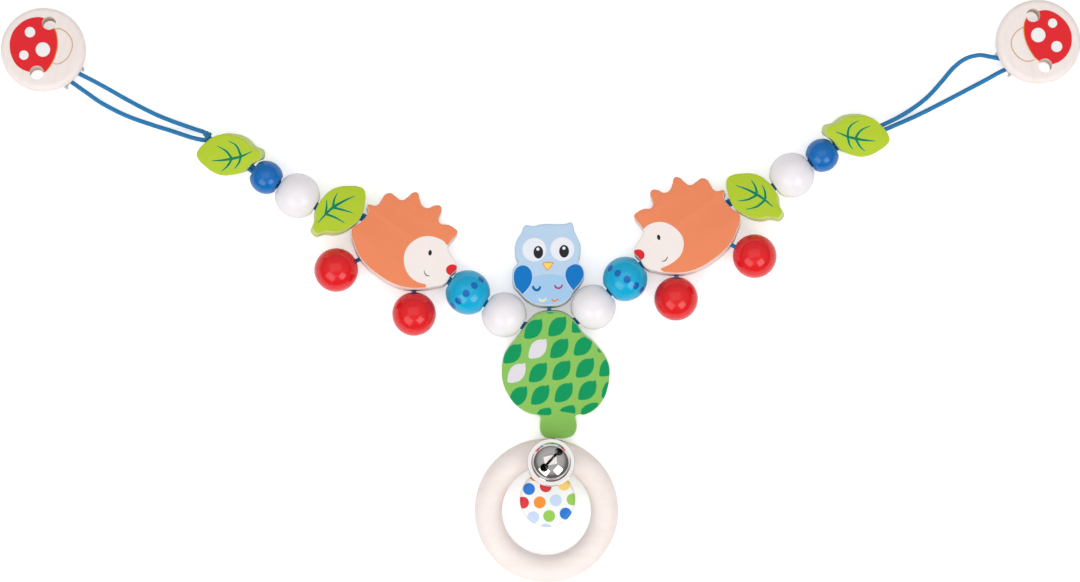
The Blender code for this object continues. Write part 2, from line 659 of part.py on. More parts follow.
def build_arm(side_name, root):
    """One arm: seven links with their pieces, the loop and the clip."""
    side = -1 if side_name == "left" else 1
    point = tree_point(*TREE_MOUTHS[side_name])
    point.z = CORD_HEIGHTS[0]
    lengths = {
        "inner_white_bead": 2 * bead_half(WHITE_DIAMETER),
        "spotted_bead": 2 * bead_half(SPOTTED_DIAMETER),
        "hedgehog": HEDGEHOG_LINK[side_name],
        "inner_leaf": INNER_LEAF_LINK[side_name],
        "outer_white_bead": 2 * bead_half(WHITE_DIAMETER),
        "small_blue_bead": 2 * bead_half(BLUE_DIAMETER),
        "outer_leaf": OUTER_LEAF_LINK[side_name],
    }
    builders = {
        "inner_white_bead": (build_bead, WHITE_DIAMETER, "white"),
        "spotted_bead": (build_bead, SPOTTED_DIAMETER, "light_blue"),
        "hedgehog": (build_hedgehog,),
        "inner_leaf": (build_leaf, INNER_LEAF_ROLL, INNER_LEAF_TURN[side_name], INNER_LEAF_SHIFT[side_name]),
        "outer_white_bead": (build_bead, WHITE_DIAMETER, "white"),
        "small_blue_bead": (build_bead, BLUE_DIAMETER, "dark_blue"),
        "outer_leaf": (build_leaf, OUTER_LEAF_ROLL, OUTER_LEAF_TURN[side_name], OUTER_LEAF_SHIFT[side_name]),
    }
    parent = root
    for index, piece in enumerate(ARM_PIECES):
        length = lengths[piece]
        rise = CORD_HEIGHTS[index + 1] - CORD_HEIGHTS[index]
        pitch = math.asin(rise / (length + LINK_GAP))
        place = frame_at(point, HEADINGS[side_name][index], pitch, side)
        name = f"{side_name}_{piece}"
        parent = anchor(f"{name}_bend_joint", place, parent)
        cord = double_cord_mesh(f"{name}_cord", length + LINK_GAP - 2 * CORD_END)
        cord_place = place @ shift(x=CORD_END) @ ALONG_X @ turn(math.pi / 2, "Z")
        part(f"{name}_cord", cord, "cord", cord_place, parent)
        spin = anchor(f"{name}_spin_joint", place @ shift(x=(LINK_GAP + length) / 2), parent)
        build, *sizes = builders[piece]
        build(name, side, spin, *sizes)
        point = place @ Vector((length + LINK_GAP, 0.0, 0.0))
    build_loop(side_name, side, point, parent)


def build_bead(name, side, spin, diameter, finish):
    part(name, bead_mesh(name, diameter), finish, PLACES[spin.name] @ ALONG_X, spin)


def build_leaf(name, side, spin, roll, bearing, offset):
    """A leaf threaded across its blade: its own outline runs from the stem to the tip."""
    half = in_units(LEAF_HALF_SHARES, LEAF_LENGTH, LEAF_HALF_WIDTH)
    outline = [(0.0, 0.0)] + half + [(LEAF_LENGTH, 0.0)] + [(x, -y) for x, y in reversed(half)]
    mesh = plate_mesh(name, outline, PLATE_THICKNESS, PLATE_ROUNDING)
    along, across = offset
    middle = shift(along, side * across) @ turn(side * bearing, "Z") @ shift(x=-LEAF_LENGTH / 2)
    leaf = part(name, mesh, "leaf_green", PLACES[spin.name] @ turn(-side * roll, "X") @ middle, spin)
    hole = rod_mesh(f"{name}_bore", BORE_DIAMETER / 2, LEAF_LENGTH + 2 * OVERRUN)
    cut(leaf, hole, middle.inverted() @ ALONG_X @ shift(z=-LEAF_LENGTH / 2 - OVERRUN), f"{name}_bore")


def build_hedgehog(name, side, spin):
    """The hedgehog on its bore from chin to notch, with two blind holes for its leg cords."""
    outline = in_units(HEDGEHOG_SHARES, HEDGEHOG_REACH, HEDGEHOG_HEIGHT, side)
    mesh = plate_mesh(name, outline, PLATE_THICKNESS, PLATE_ROUNDING)
    roll = turn(-side * HEDGEHOG_ROLL, "X")
    place = PLACES[spin.name] @ roll
    body = part(name, mesh, "orange", place, spin)
    hole = rod_mesh(f"{name}_bore", BORE_DIAMETER / 2, 2 * HEDGEHOG_REACH + 4 * OVERRUN)
    cut(body, hole, ALONG_X @ shift(z=-HEDGEHOG_REACH - 2 * OVERRUN), f"{name}_bore")
    for leg in ("front", "rear"):
        build_leg(f"{name}_{leg}_leg", side, spin, body, place, leg)


def build_leg(name, side, spin, body, place, leg):
    """A leg: a red bead on a short cord that is set in the hedgehog's edge."""
    mouth_u, mouth_v = LEG_MOUTH_SHARES[leg]
    bead_u, bead_v = LEG_BEAD_SHARES[leg]
    mouth = Vector((mouth_u * HEDGEHOG_REACH, side * mouth_v * HEDGEHOG_HEIGHT, 0.0))
    target = Vector((bead_u * HEDGEHOG_REACH, side * bead_v * HEDGEHOG_HEIGHT, 0.0))
    way = (target - mouth).normalized()
    bore(body, mouth.to_2d(), (-way).to_2d(), LEG_BORE_DIAMETER, LEG_BORE_DEPTH, f"{name}_hole")
    start = place @ mouth
    bead_place = place @ target
    bead_place.z = RED_DIAMETER / 2
    direction = bead_place - start
    reach = direction.length
    frame = Matrix.Translation(start) @ direction.to_track_quat("X", "Z").to_matrix().to_4x4()
    swing = anchor(f"{name}_swing_joint", frame, spin)
    top = bead_half(RED_DIAMETER, LEG_FLAT_RADIUS)
    bead = blind_bead_mesh(f"{name}_bead", RED_DIAMETER, RED_BORE_DEPTH)
    part(f"{name}_bead", bead, "red", frame @ shift(x=reach) @ turn(math.pi, "Z") @ ALONG_X, swing)
    bead_hold = RED_BORE_DEPTH - CLEARANCE
    cord = rod_mesh(f"{name}_cord", STRAND_DIAMETER / 2, LEG_HOLD + reach - top + bead_hold, sides=CORD_SIDES)
    part(f"{name}_cord", cord, "cord", frame @ shift(x=-LEG_HOLD) @ ALONG_X, swing)


# The loops' routes, chosen by hand as shares of the loop's length, each in its own frame: out
# along the strand that is nearer the top of the view, round the clip's rod and back
LOOP_SHARES = {
    "left": (
        (0.0179, 0.0179, 0.0), (0.0593, 0.0262, -0.0138), (0.1297, 0.0193, -0.0497),
        (0.2979, 0.0041, -0.0883), (0.4372, 0.0, -0.0924), (0.6069, 0.0083, -0.0855),
        (0.7586, 0.0221, -0.0552), (0.869, 0.0303, -0.0138), (0.9448, 0.0331, 0.0138),
        (0.9917, 0.0345, 0.0234), (1.0152, 0.0248, 0.0179), (1.0283, 0.0062, 0.0014),
        (1.0248, -0.0159, -0.0152), (1.0077, -0.0345, -0.0207), (0.9517, -0.0469, -0.0303),
        (0.869, -0.0634, -0.0607), (0.7586, -0.0828, -0.0883), (0.5834, -0.0897, -0.0924),
        (0.4028, -0.0745, -0.0924), (0.2731, -0.0579, -0.0855), (0.1379, -0.0428, -0.0552),
        (0.0607, -0.029, -0.0166), (0.0248, -0.0179, 0.0),
    ),
    "right": (
        (0.024, 0.018, 0.0), (0.0601, 0.0165, -0.015), (0.1502, 0.0135, -0.0541),
        (0.2853, 0.021, -0.0931), (0.4204, 0.045, -0.0965), (0.5556, 0.0931, -0.0965),
        (0.6757, 0.1411, -0.0901), (0.7778, 0.1592, -0.0601), (0.8709, 0.1381, -0.021),
        (0.9384, 0.0871, 0.009), (0.994, 0.042, 0.0195), (1.018, 0.0255, 0.015),
        (1.0315, 0.0045, -0.0045), (1.0255, -0.0195, -0.0225), (1.0045, -0.039, -0.03),
        (0.9309, -0.039, -0.045), (0.8258, -0.042, -0.0811), (0.7057, -0.042, -0.0965),
        (0.5571, -0.042, -0.0965), (0.3859, -0.0405, -0.0965), (0.2553, -0.036, -0.0901),
        (0.1351, -0.027, -0.0541), (0.0601, -0.021, -0.015), (0.024, -0.018, 0.0),
    ),
}


def smooth_run(points, spacing):
    """Points about the spacing apart along a smooth curve through the given ones."""
    places = [Vector(point) for point in points]
    ends = [2 * places[0] - places[1]] + places + [2 * places[-1] - places[-2]]
    run = []
    for i in range(1, len(places)):
        before, start, end, after = ends[i - 1:i + 3]
        pieces = max(1, round((end - start).length / spacing))
        for j in range(pieces):
            t = j / pieces
            bend = (2 * start + (end - before) * t
                    + (2 * before - 5 * start + 4 * end - after) * t ** 2
                    + (3 * start - 3 * end + after - before) * t ** 3)
            run.append(bend / 2)
    run.append(places[-1])
    return run


def build_loop(side_name, side, point, parent):
    """The cord's end loop, from the outer leaf round the rod of the clip."""
    place = frame_at(point, LOOP_HEADINGS[side_name], 0.0, side)
    swing = anchor(f"{side_name}_loop_swing_joint", place, parent)
    length = LOOP_LENGTH[side_name]
    route = [(x * length, side * y * length, z * length) for x, y, z in LOOP_SHARES[side_name]]
    mesh = tube_mesh(f"{side_name}_loop_cord", smooth_run(route, LOOP_SPACING), STRAND_DIAMETER, 2)
    part(f"{side_name}_loop_cord", mesh, "cord", place, swing)
    build_clip(side_name, side, place @ Vector((length, 0.0, 0.0)), swing)


def build_clip(side_name, side, eye, parent):
    """The clip about its rod: a sheet frame, and a lever under the wooden disc."""
    tilt = turn(CLIP_PITCH, "Y") @ turn(-side * CLIP_ROLL[side_name], "X")
    nose = EYE_TO_PIVOT + NOSE_REACH
    lowest = min((tilt @ Vector((nose, y, -ROD_HEIGHT))).z for y in (CLIP_WIDTH / 2, -CLIP_WIDTH / 2))
    eye = Vector((eye.x, eye.y, -lowest))
    place = frame_at(eye, CLIP_HEADINGS[side_name], 0.0, side) @ tilt
    fold = anchor(f"{side_name}_clip_fold_joint", place, parent)
    name = f"{side_name}_clip"
    pivot = shift(EYE_TO_PIVOT, 0.0, PIVOT_HEIGHT - ROD_HEIGHT)
    across = turn(math.radians(90), "X")    # takes a shape along Z onto -Y
    floor = -ROD_HEIGHT
    half = CLIP_WIDTH / 2
    inside = half - SHEET
    # Ears for the rod at the back, cheeks for the pivot at the nose
    ear_rear = -ROD_DIAMETER / 2 - EAR_RIM
    ear_top = ROD_DIAMETER
    cheek_rear = EYE_TO_PIVOT - CHEEK_LENGTH
    cheek_radius = PIVOT_DIAMETER / 2 + CHEEK_RIM
    cheek_top = PIVOT_HEIGHT - ROD_HEIGHT + cheek_radius
    shapes = [box_mesh("sheet", (PLATE_START, -half, floor), (nose, half, floor + SHEET))]
    for low in (-half, inside):
        high = low + SHEET
        shapes.append(box_mesh("ear", (ear_rear, low, floor), (PLATE_START + SHEET, high, ear_top)))
        shapes.append(box_mesh("cheek", (cheek_rear, low, floor), (EYE_TO_PIVOT, high, cheek_top)))
        shapes.append(moved(rod_mesh("cheek_end", cheek_radius, SHEET), pivot @ shift(y=high) @ across))
    rod = rod_mesh("rod", ROD_DIAMETER / 2, 2 * inside + SHEET, sides=CORD_SIDES)
    shapes.append(moved(rod, shift(y=inside + SHEET / 2) @ across))
    frame = part(f"{name}_frame", united(f"{name}_frame", shapes), "steel", place, fold)
    pin_hole = rod_mesh(f"{name}_pin_hole", PIVOT_DIAMETER / 2 + CLEARANCE, CLIP_WIDTH + 2 * OVERRUN)
    cut(frame, pin_hole, pivot @ shift(y=half + OVERRUN) @ across, f"{name}_pin_hole")
    pin = rod_mesh(f"{name}_pin", PIVOT_DIAMETER / 2, CLIP_WIDTH)
    part(f"{name}_pin", pin, "steel", place @ pivot @ shift(y=half) @ across, fold)
    build_grip(name, place, fold, floor + SHEET + CLEARANCE)
    lever = build_lever(name, place, fold, pivot, across)
    build_clip_disc(side_name, name, place, lever)


def build_grip(name, place, fold, seat):
    """The plastic pad under the toe, with a row of teeth across the clip."""
    end = EYE_TO_PIVOT - PAD_TO_PIVOT
    start = end - PAD_LENGTH
    width = LEVER_WIDTH / 2
    top = seat + PAD_THICKNESS
    pad = part(f"{name}_grip_pad", box_mesh(f"{name}_grip_pad", (start, -width, seat), (end, width, top)),
               "plastic", place, fold)
    pitch = PAD_LENGTH / PAD_TEETH
    for i in range(PAD_TEETH):
        middle = start + (i + 0.5) * pitch
        tooth = box_mesh(f"{name}_tooth", (middle - pitch / 4, -width + PAD_TOOTH, seat + PAD_TOOTH),
                         (middle + pitch / 4, width - PAD_TOOTH, top + PAD_TOOTH))
        join(pad, tooth, Matrix(), f"{name}_tooth_{i}")


def build_lever(name, place, fold, pivot, across):
    """The lever turns on the pin. Its toe presses the cloth on the pad, and it carries the disc."""
    joint = anchor(f"{name}_lever_joint", place @ pivot, fold)
    width = LEVER_WIDTH / 2
    top = LEVER_TOP - ROD_HEIGHT
    pivot_height = PIVOT_HEIGHT - ROD_HEIGHT
    toe_start = EYE_TO_PIVOT - TOE_REACH
    toe_floor = pivot_height - TOE_THICKNESS
    shapes = [
        box_mesh("plate", (LEVER_START, -width, top - SHEET), (EYE_TO_PIVOT, width, top)),
        moved(rod_mesh("hub", HUB_DIAMETER / 2, LEVER_WIDTH), pivot @ shift(y=width) @ across),
        box_mesh("toe", (toe_start, -width, toe_floor), (EYE_TO_PIVOT, width, pivot_height)),
    ]
    lever = part(f"{name}_lever", united(f"{name}_lever", shapes), "steel", place, joint)
    hole = rod_mesh(f"{name}_lever_hole", PIVOT_DIAMETER / 2 + CLEARANCE, LEVER_WIDTH + 2 * OVERRUN)
    cut(lever, hole, pivot @ shift(y=width + OVERRUN) @ across, f"{name}_lever_hole")
    return joint


def build_clip_disc(side_name, name, place, joint):
    """The round wooden cover with its two vent holes."""
    mesh = disc_mesh(f"{name}_disc", CLIP_DISC_DIAMETER, CLIP_DISC_THICKNESS, CLIP_DISC_ROUNDING,
                     DISC_STEPS)
    seat = LEVER_TOP - ROD_HEIGHT + CLEARANCE
    side = -1 if side_name == "left" else 1
    bearing = side * math.radians(VENT_HEADINGS[side_name] - CLIP_HEADINGS[side_name])
    disc_place = place @ shift(EYE_TO_DISC, 0.0, seat + CLIP_DISC_THICKNESS / 2) @ turn(bearing, "Z")
    disc = part(f"{name}_disc", mesh, "wood", disc_place, joint)
    for i, end in enumerate((1, -1)):
        vent = rod_mesh(f"{name}_vent", VENT_DIAMETER / 2, CLIP_DISC_THICKNESS + 2 * OVERRUN)
        vent_place = shift(end * VENT_SPACING / 2, 0.0, -CLIP_DISC_THICKNESS / 2 - OVERRUN)
        cut(disc, vent, vent_place, f"{name}_vent_{i}")


def centre_toy(root):
    """Move the whole toy so that it stands on z = 0 with its box's middle at x = y = 0."""
    bpy.context.view_layer.update()
    graph = bpy.context.evaluated_depsgraph_get()
    corners = []
    for obj in PARTS.objects:
        if obj.type == "MESH":
            skin = obj.evaluated_get(graph)
            corners += [obj.matrix_world @ vertex.co for vertex in skin.data.vertices]
    low = [min(corner[i] for corner in corners) for i in range(3)]
    high = [max(corner[i] for corner in corners) for i in range(3)]
    root.matrix_basis = shift(-(low[0] + high[0]) / 2, -(low[1] + high[1]) / 2, -low[2]) @ root.matrix_basis


def build_toy():
    root = anchor("tree_anchor", TREE_FRAME)
    build_tree(root)
    build_owl(root)
    build_ring(root)
    for side_name in ("left", "right"):
        build_arm(side_name, root)
    centre_toy(root)


build_toy()
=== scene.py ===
"""Looks of the pram chain toy: lacquered beads, printed wooden figures, cord, bell and clips.

Metres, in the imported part's frame. Prints are placed by pixels of the photograph, through the
camera, onto the face that carries them, and are repeated on the face behind.
"""
import json
import math
from dataclasses import dataclass

import bmesh
import bpy
from mathutils import Matrix, Vector
from mathutils.geometry import delaunay_2d_cdt


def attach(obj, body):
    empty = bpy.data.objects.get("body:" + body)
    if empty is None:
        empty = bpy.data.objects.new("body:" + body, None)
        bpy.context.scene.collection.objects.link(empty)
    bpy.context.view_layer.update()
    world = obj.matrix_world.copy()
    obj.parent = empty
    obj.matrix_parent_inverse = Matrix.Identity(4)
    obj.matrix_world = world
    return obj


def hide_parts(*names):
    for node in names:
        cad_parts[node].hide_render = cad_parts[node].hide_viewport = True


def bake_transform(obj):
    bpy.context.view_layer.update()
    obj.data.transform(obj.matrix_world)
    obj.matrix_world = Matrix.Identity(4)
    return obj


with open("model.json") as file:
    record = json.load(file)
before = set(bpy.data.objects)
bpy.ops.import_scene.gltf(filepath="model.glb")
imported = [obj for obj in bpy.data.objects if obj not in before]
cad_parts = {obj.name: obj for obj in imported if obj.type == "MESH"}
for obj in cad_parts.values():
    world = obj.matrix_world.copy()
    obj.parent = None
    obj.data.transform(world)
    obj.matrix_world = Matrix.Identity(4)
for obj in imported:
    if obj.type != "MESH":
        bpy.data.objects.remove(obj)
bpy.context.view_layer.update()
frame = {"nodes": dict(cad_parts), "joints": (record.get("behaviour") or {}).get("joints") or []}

MM = 0.001
PHOTO_WIDTH = 1080
PHOTO_HEIGHT = 582
PIXEL = 0.486 * MM              # at the height of the beads' middles
REFERENCE_HEIGHT = 10.0 * MM
CAMERA_DISTANCE = 2.0
VIEW_MIDDLE = Vector((-0.38 * MM, 0.215 * MM))
SENSOR = 36.0
CAMERA_FAR = 20.0

STRAND = 2.0 * MM
LOOP_STRAND = 2.2 * MM          # the end loops' strands lie slack, so they swell a little
CORD_STEP = 0.8 * MM            # between the points of a cord's run
STRAIGHT = 2.0 * MM             # of cord on each side of a joint, before the bend
BEND_REACH = 1.5 * MM           # of the blend between two bodies, on each side of a joint
TUBE_SIDES = 14
BORE = 4.8 * MM
LEG_BORE = 2.8 * MM
LIMIT_GAP = 0.15 * MM           # of figures and beads inside their solids, clear at the joints' limits
PLATE_THICKNESS = 9.5 * MM
PLATE_ROUNDING = 0.9 * MM
OUTLINE_STEPS = 8               # between two points of a figure's outline
DRAWN_STEPS = 6                 # between two points of a print's
WELD = 0.01 * MM                # points of a figure this near are one
FACING = 0.6                    # the share along Z of a normal, from which a face is a front or a back
FLAT = 0.999                    # and from which it isn't part of the rounded rim
INK = 0.04 * MM                 # thickness of a printed layer
RING_DIAMETER = 70.0 * MM
RING_TUBE = 13.4 * MM
WHITE_DIAMETER = 22.2 * MM
SPOTTED_DIAMETER = 22.0 * MM
RED_DIAMETER = 21.6 * MM
BLUE_DIAMETER = 16.6 * MM
BEAD_FLAT = 4.5 * MM
LEG_FLAT = 2.5 * MM
LEG_DEPTH = 5.0 * MM            # of the bore in a red bead
BEAD_STEPS = 72
BORE_SOFTNESS = 0.35 * MM       # of the edge where a bead's bore meets its flat
LEG_SOFTNESS = 0.3 * MM

JOINTS = {joint["name"]: joint for joint in frame["joints"]}
NODES = frame["nodes"]
SIDES = (("left", -1), ("right", 1))
ARM_PIECES = ("inner_white_bead", "spotted_bead", "hedgehog", "inner_leaf",
              "outer_white_bead", "small_blue_bead", "outer_leaf")
UP = Vector((0.0, 0.0, 1.0))


# The camera and the places of things

def linked(name, data):
    """A new object in the scene."""
    obj = bpy.data.objects.new(name, data)
    bpy.context.scene.collection.objects.link(obj)
    return obj


def add_camera():
    data = bpy.data.cameras.new("camera")
    data.type = "PERSP"
    data.sensor_width = SENSOR
    data.lens = SENSOR * CAMERA_DISTANCE / (PHOTO_WIDTH * PIXEL)
    data.clip_end = CAMERA_FAR
    camera = linked("camera", data)
    camera.location = (VIEW_MIDDLE.x, VIEW_MIDDLE.y, REFERENCE_HEIGHT + CAMERA_DISTANCE)
    bpy.context.scene.camera = camera
    return camera


CAMERA = add_camera()


def pixel_on(place, height, px, py):
    """Where the photograph's pixel falls on the plane z = height of a placed frame, in that frame."""
    target = Vector((VIEW_MIDDLE.x + (px - PHOTO_WIDTH / 2) * PIXEL,
                     VIEW_MIDDLE.y + (PHOTO_HEIGHT / 2 - py) * PIXEL, REFERENCE_HEIGHT))
    inverse = place.inverted()
    start = inverse @ CAMERA.location
    way = inverse @ target - start
    return start + way * ((height - start.z) / way.z)


def turn(degrees, axis):
    return Matrix.Rotation(math.radians(degrees), 4, axis)


def shift(x=0.0, y=0.0, z=0.0):
    return Matrix.Translation((x, y, z))


ALONG_X = turn(90, "Y")         # lays a thing made along Z along X
ALONG_Y = turn(90, "X")         # or along -Y


def spot(name):
    return Vector(JOINTS[name]["pos_m"])


def way(name):
    return Vector(JOINTS[name]["axis"]).normalized()


def based(origin, *columns):
    """A frame at an origin, from its three axes."""
    matrix = Matrix(columns).transposed().to_4x4()
    matrix.translation = origin
    return matrix


def axes(origin, x):
    """A frame with +X along x and +Z as near to up as that allows."""
    x = x.normalized()
    z = (UP - x * UP.dot(x)).normalized()
    return based(origin, x, z.cross(x), z)


def pointed(origin, direction):
    """A frame with +Z along a direction."""
    return Matrix.Translation(origin) @ direction.to_track_quat("Z", "Y").to_matrix().to_4x4()


# Materials

COATS = {}                      # each material by the name that it is made with


def linear(red, green, blue):
    """A colour from 0 to 255 as Blender's linear one."""
    values = []
    for value in (red, green, blue):
        share = value / 255
        values.append(share / 12.92 if share <= 0.04045 else ((share + 0.055) / 1.055) ** 2.4)
    return (*values, 1.0)


def toned(colour, share):
    return (*(value * share for value in colour[:3]), 1.0)


class Nodes:
    """A node tree with short calls for its nodes."""

    def __init__(self, tree):
        self.tree = tree

    def node(self, kind, **inputs):
        made = self.tree.nodes.new(kind)
        for key, value in inputs.items():
            self.feed(made.inputs[key.replace("_", " ")], value)
        return made

    def feed(self, socket, value):
        if isinstance(value, bpy.types.NodeSocket):
            self.tree.links.new(value, socket)
        else:
            socket.default_value = value

    def math(self, operation, *values):
        made = self.node("ShaderNodeMath")
        made.operation = operation
        for socket, value in zip(made.inputs, (*values, 0.0, 0.0)):
            self.feed(socket, value)
        return made.outputs[0]

    def coords(self, scale=(1.0, 1.0, 1.0), rotation=(0.0, 0.0, 0.0), kind="Object"):
        source = self.node("ShaderNodeTexCoord").outputs[kind]
        return self.node("ShaderNodeMapping", Vector=source, Scale=scale, Rotation=rotation).outputs["Vector"]

    def split(self, vector):
        return self.node("ShaderNodeSeparateXYZ", Vector=vector).outputs

    def noise(self, vector, scale, detail=3.0):
        return self.node("ShaderNodeTexNoise", Vector=vector, Scale=scale, Detail=detail).outputs["Fac"]

    def mix(self, factor, first, second):
        made = self.node("ShaderNodeMix")
        made.data_type = "RGBA"
        for name, value in (("Factor", factor), ("A", first), ("B", second)):
            self.feed(made.inputs[name], value)
        return made.outputs["Result"]


class Shader(Nodes):
    """A material on one principled surface, kept in COATS."""

    def __init__(self, name, colour, roughness, metallic=0.0):
        COATS[name] = bpy.data.materials.new(name)
        COATS[name].use_nodes = True
        super().__init__(COATS[name].node_tree)
        self.bsdf = self.tree.nodes["Principled BSDF"]
        self.colour = colour
        self.set(Base_Color=colour, Roughness=roughness, Metallic=metallic)

    def set(self, **inputs):
        """Gives inputs of the surface a value or a link."""
        for key, value in inputs.items():
            self.feed(self.bsdf.inputs[key.replace("_", " ")], value)

    def shown(self):
        """The colour as it is so far, to mix more into."""
        return self.bsdf.inputs["Base Color"].links[0].from_socket

    def vary(self, factor, other):
        """Paints the colour toward another by a factor."""
        self.set(Base_Color=self.mix(factor, self.colour, other))

    def bump(self, height, strength, distance):
        made = self.node("ShaderNodeBump", Height=height, Strength=strength, Distance=distance)
        self.set(Normal=made.outputs["Normal"])


def lacquer(name, colour, roughness=0.16):
    """Glossy lacquer on a turned bead, with the wood's grain just felt under it."""
    shader = Shader(name, colour, roughness)
    grain = shader.noise(shader.coords((1.0, 1.0, 0.25)), 420.0)
    shader.vary(shader.math("MULTIPLY", grain, 0.25), toned(colour, 0.8))
    shader.bump(grain, 0.05, 0.1 * MM)
    shader.set(Specular_IOR_Level=0.3, Coat_Weight=0.3, Coat_Roughness=0.07)
    return shader


def paint(name, colour, roughness, strength=0.12):
    """Satin paint or ink on a sanded wooden face."""
    shader = Shader(name, colour, roughness)
    grain = shader.noise(shader.coords((60.0, 900.0, 60.0)), 1.0, 5.0)
    blotch = shader.noise(shader.coords(), 90.0, 2.0)
    both = shader.math("ADD", shader.math("MULTIPLY", grain, 0.22), shader.math("MULTIPLY", blotch, 0.18))
    shader.vary(both, toned(colour, 0.82))
    shader.bump(grain, strength, 0.08 * MM)
    shader.set(Specular_IOR_Level=0.15)


def bare_wood(name, colour, dark):
    """Sanded natural wood: long grain, fine pores and slow changes of tone."""
    shader = Shader(name, colour, 0.5)
    grain = shader.noise(shader.coords((14.0, 240.0, 240.0)), 1.0, 6.0)
    pores = shader.noise(shader.coords((90.0, 1500.0, 1500.0)), 1.0, 2.0)
    slow = shader.noise(shader.coords(), 30.0, 2.0)
    sharp = shader.math("SMOOTH_MAX", shader.math("SUBTRACT", grain, 0.42), 0.0, 0.05)
    tone = shader.math("ADD", shader.math("MULTIPLY", sharp, 0.9), shader.math("MULTIPLY", slow, 0.25))
    speck = shader.math("MULTIPLY", shader.math("GREATER_THAN", pores, 0.64), 0.1)
    shader.vary(shader.math("ADD", tone, speck), dark)
    shader.bump(shader.math("ADD", grain, pores), 0.1, 0.1 * MM)
    shader.set(Specular_IOR_Level=0.2)


BRAID_RIBS = 8                  # round the cord
BRAID_PITCH = 1.3 * MM          # of a rib, along it


def braid(name, colour, dark):
    """Fine braided elastic: crossing diagonal ribs along a tube's UV, U round it and V along it, with painted
    shade in the grooves between the ribs.
    """
    shader = Shader(name, colour, 0.75)
    split = shader.split(shader.coords(kind="UV"))
    around = shader.math("MULTIPLY", split["X"], 2 * math.pi * BRAID_RIBS)
    along = shader.math("MULTIPLY", split["Y"], 2 * math.pi / BRAID_PITCH)
    first = shader.math("SINE", shader.math("ADD", around, along))
    second = shader.math("SINE", shader.math("SUBTRACT", around, along))
    rib = shader.math("MULTIPLY_ADD", shader.math("MAXIMUM", first, second), 0.5, 0.5)
    # Painted shade: the colour goes toward the dark one in the grooves between the ribs
    shader.vary(shader.math("SUBTRACT", 1.0, rib), dark)
    shader.bump(rib, 0.5, 0.25 * MM)
    shader.set(Sheen_Weight=0.2)


def metal(name, colour, roughness):
    """Metal with fine scratches along Y."""
    shader = Shader(name, (*colour, 1.0), roughness, 1.0)
    lines = shader.noise(shader.coords((900.0, 30.0, 900.0)), 1.0, 3.0)
    shader.set(Roughness=shader.math("MULTIPLY_ADD", lines, roughness * 0.8, roughness * 0.6))
    shader.bump(lines, 0.04, 0.05 * MM)


PAINTS = {                      # colour and roughness
    "orange_paint": ((242, 140, 96), 0.42),
    "cream_paint": ((250, 239, 233), 0.42),
    "leaf_green_paint": ((182, 207, 48), 0.42),
    "leaf_wall_paint": ((206, 222, 140), 0.55),
    "vein_ink": ((8, 128, 82), 0.35),
    "vein_halo_ink": ((168, 222, 110), 0.4),
    "tree_green_paint": ((138, 195, 92), 0.42),
    "tree_wall_paint": ((196, 218, 164), 0.55),
    "tree_leaf_ink": ((0, 151, 89), 0.35),
    "pale_leaf_ink": ((226, 220, 226), 0.4),
    "white_ink": ((240, 242, 249), 0.4),
    "pale_blue_paint": ((191, 217, 240), 0.42),
    "soft_blue_ink": ((166, 206, 240), 0.4),
    "owl_wall_paint": ((214, 222, 232), 0.55),
    "wing_blue_ink": ((0, 119, 198), 0.35),
    "black_ink": ((38, 38, 44), 0.35),
    "pale_wall_paint": ((240, 226, 220), 0.55),
    "red_ink": ((231, 38, 46), 0.35),
    "yellow_ink": ((255, 220, 110), 0.4),
    "pale_yellow_ink": ((240, 238, 190), 0.4),
    "orange_ink": ((244, 140, 24), 0.4),
    "teal_ink": ((0, 110, 165), 0.4),
    "magenta_ink": ((190, 46, 104), 0.4),
    "dot_white_ink": ((249, 246, 244), 0.4),
    "sky_ink": ((196, 220, 246), 0.4),
    "tan_ink": ((214, 168, 120), 0.45),
}
DOT_COUNT = 12
DOT_RADIUS = 1.8 * MM
DOT_TILT = math.radians(15.3)   # of the dots' row from square to the bore
DOT_PHASE = math.radians(4)     # of the row's middle dot, toward the lower end of the row


def spotted_lacquer(name, side):
    """Light blue lacquer with one row of round dots about a line a little off the bore."""
    shader = lacquer(name, linear(0, 171, 214))
    split = shader.split(shader.coords(rotation=(side * DOT_TILT, 0.0, 0.0)))
    angle = shader.math("SUBTRACT", shader.math("ARCTAN2", split["Y"], split["X"]), side * DOT_PHASE)
    turns = shader.math("MULTIPLY", angle, DOT_COUNT / (2 * math.pi))
    offset = shader.math("SUBTRACT", shader.math("FRACT", shader.math("ADD", turns, DOT_COUNT + 0.5)), 0.5)
    across = shader.math("MULTIPLY", offset, math.pi * SPOTTED_DIAMETER / DOT_COUNT)
    squares = [shader.math("MULTIPLY", value, value) for value in (across, split["Z"])]
    apart = shader.math("SQRT", shader.math("ADD", *squares))
    within = shader.math("LESS_THAN", apart, DOT_RADIUS)
    shader.set(Base_Color=shader.mix(within, shader.shown(), linear(0, 100, 180)))


def add_coats():
    """Every material but the dotted disc's, which needs the disc's place."""
    lacquer("white_lacquer", linear(244, 239, 241), 0.24)
    lacquer("dark_blue_lacquer", linear(0, 106, 184))
    lacquer("red_lacquer", linear(228, 24, 30))
    for name, (colour, roughness) in PAINTS.items():
        paint(name, linear(*colour), roughness)
    paint("grip_plastic", linear(238, 236, 226), 0.45, 0.05)
    bare_wood("natural_wood", linear(247, 237, 232), linear(233, 216, 207))
    bare_wood("wood_end_grain", linear(236, 220, 205), linear(210, 184, 160))
    # The second colour of each cord is painted shade for the grooves between its ribs
    braid("braided_cord", linear(4, 134, 194), linear(0, 76, 130))
    braid("leg_cord", linear(26, 76, 136), linear(8, 28, 64))
    metal("polished_chrome", (0.80, 0.755, 0.74), 0.05)
    # Near-black metal for the bell's inner faces: painted shade inside the bell, seen through its slot
    metal("bell_inside_shade", (0.06, 0.05, 0.045), 0.6)
    metal("nickel_steel", (0.62, 0.62, 0.63), 0.26)
    for side_name, side in SIDES:
        spotted_lacquer(f"{side_name}_light_blue_lacquer", side)


# Shapes

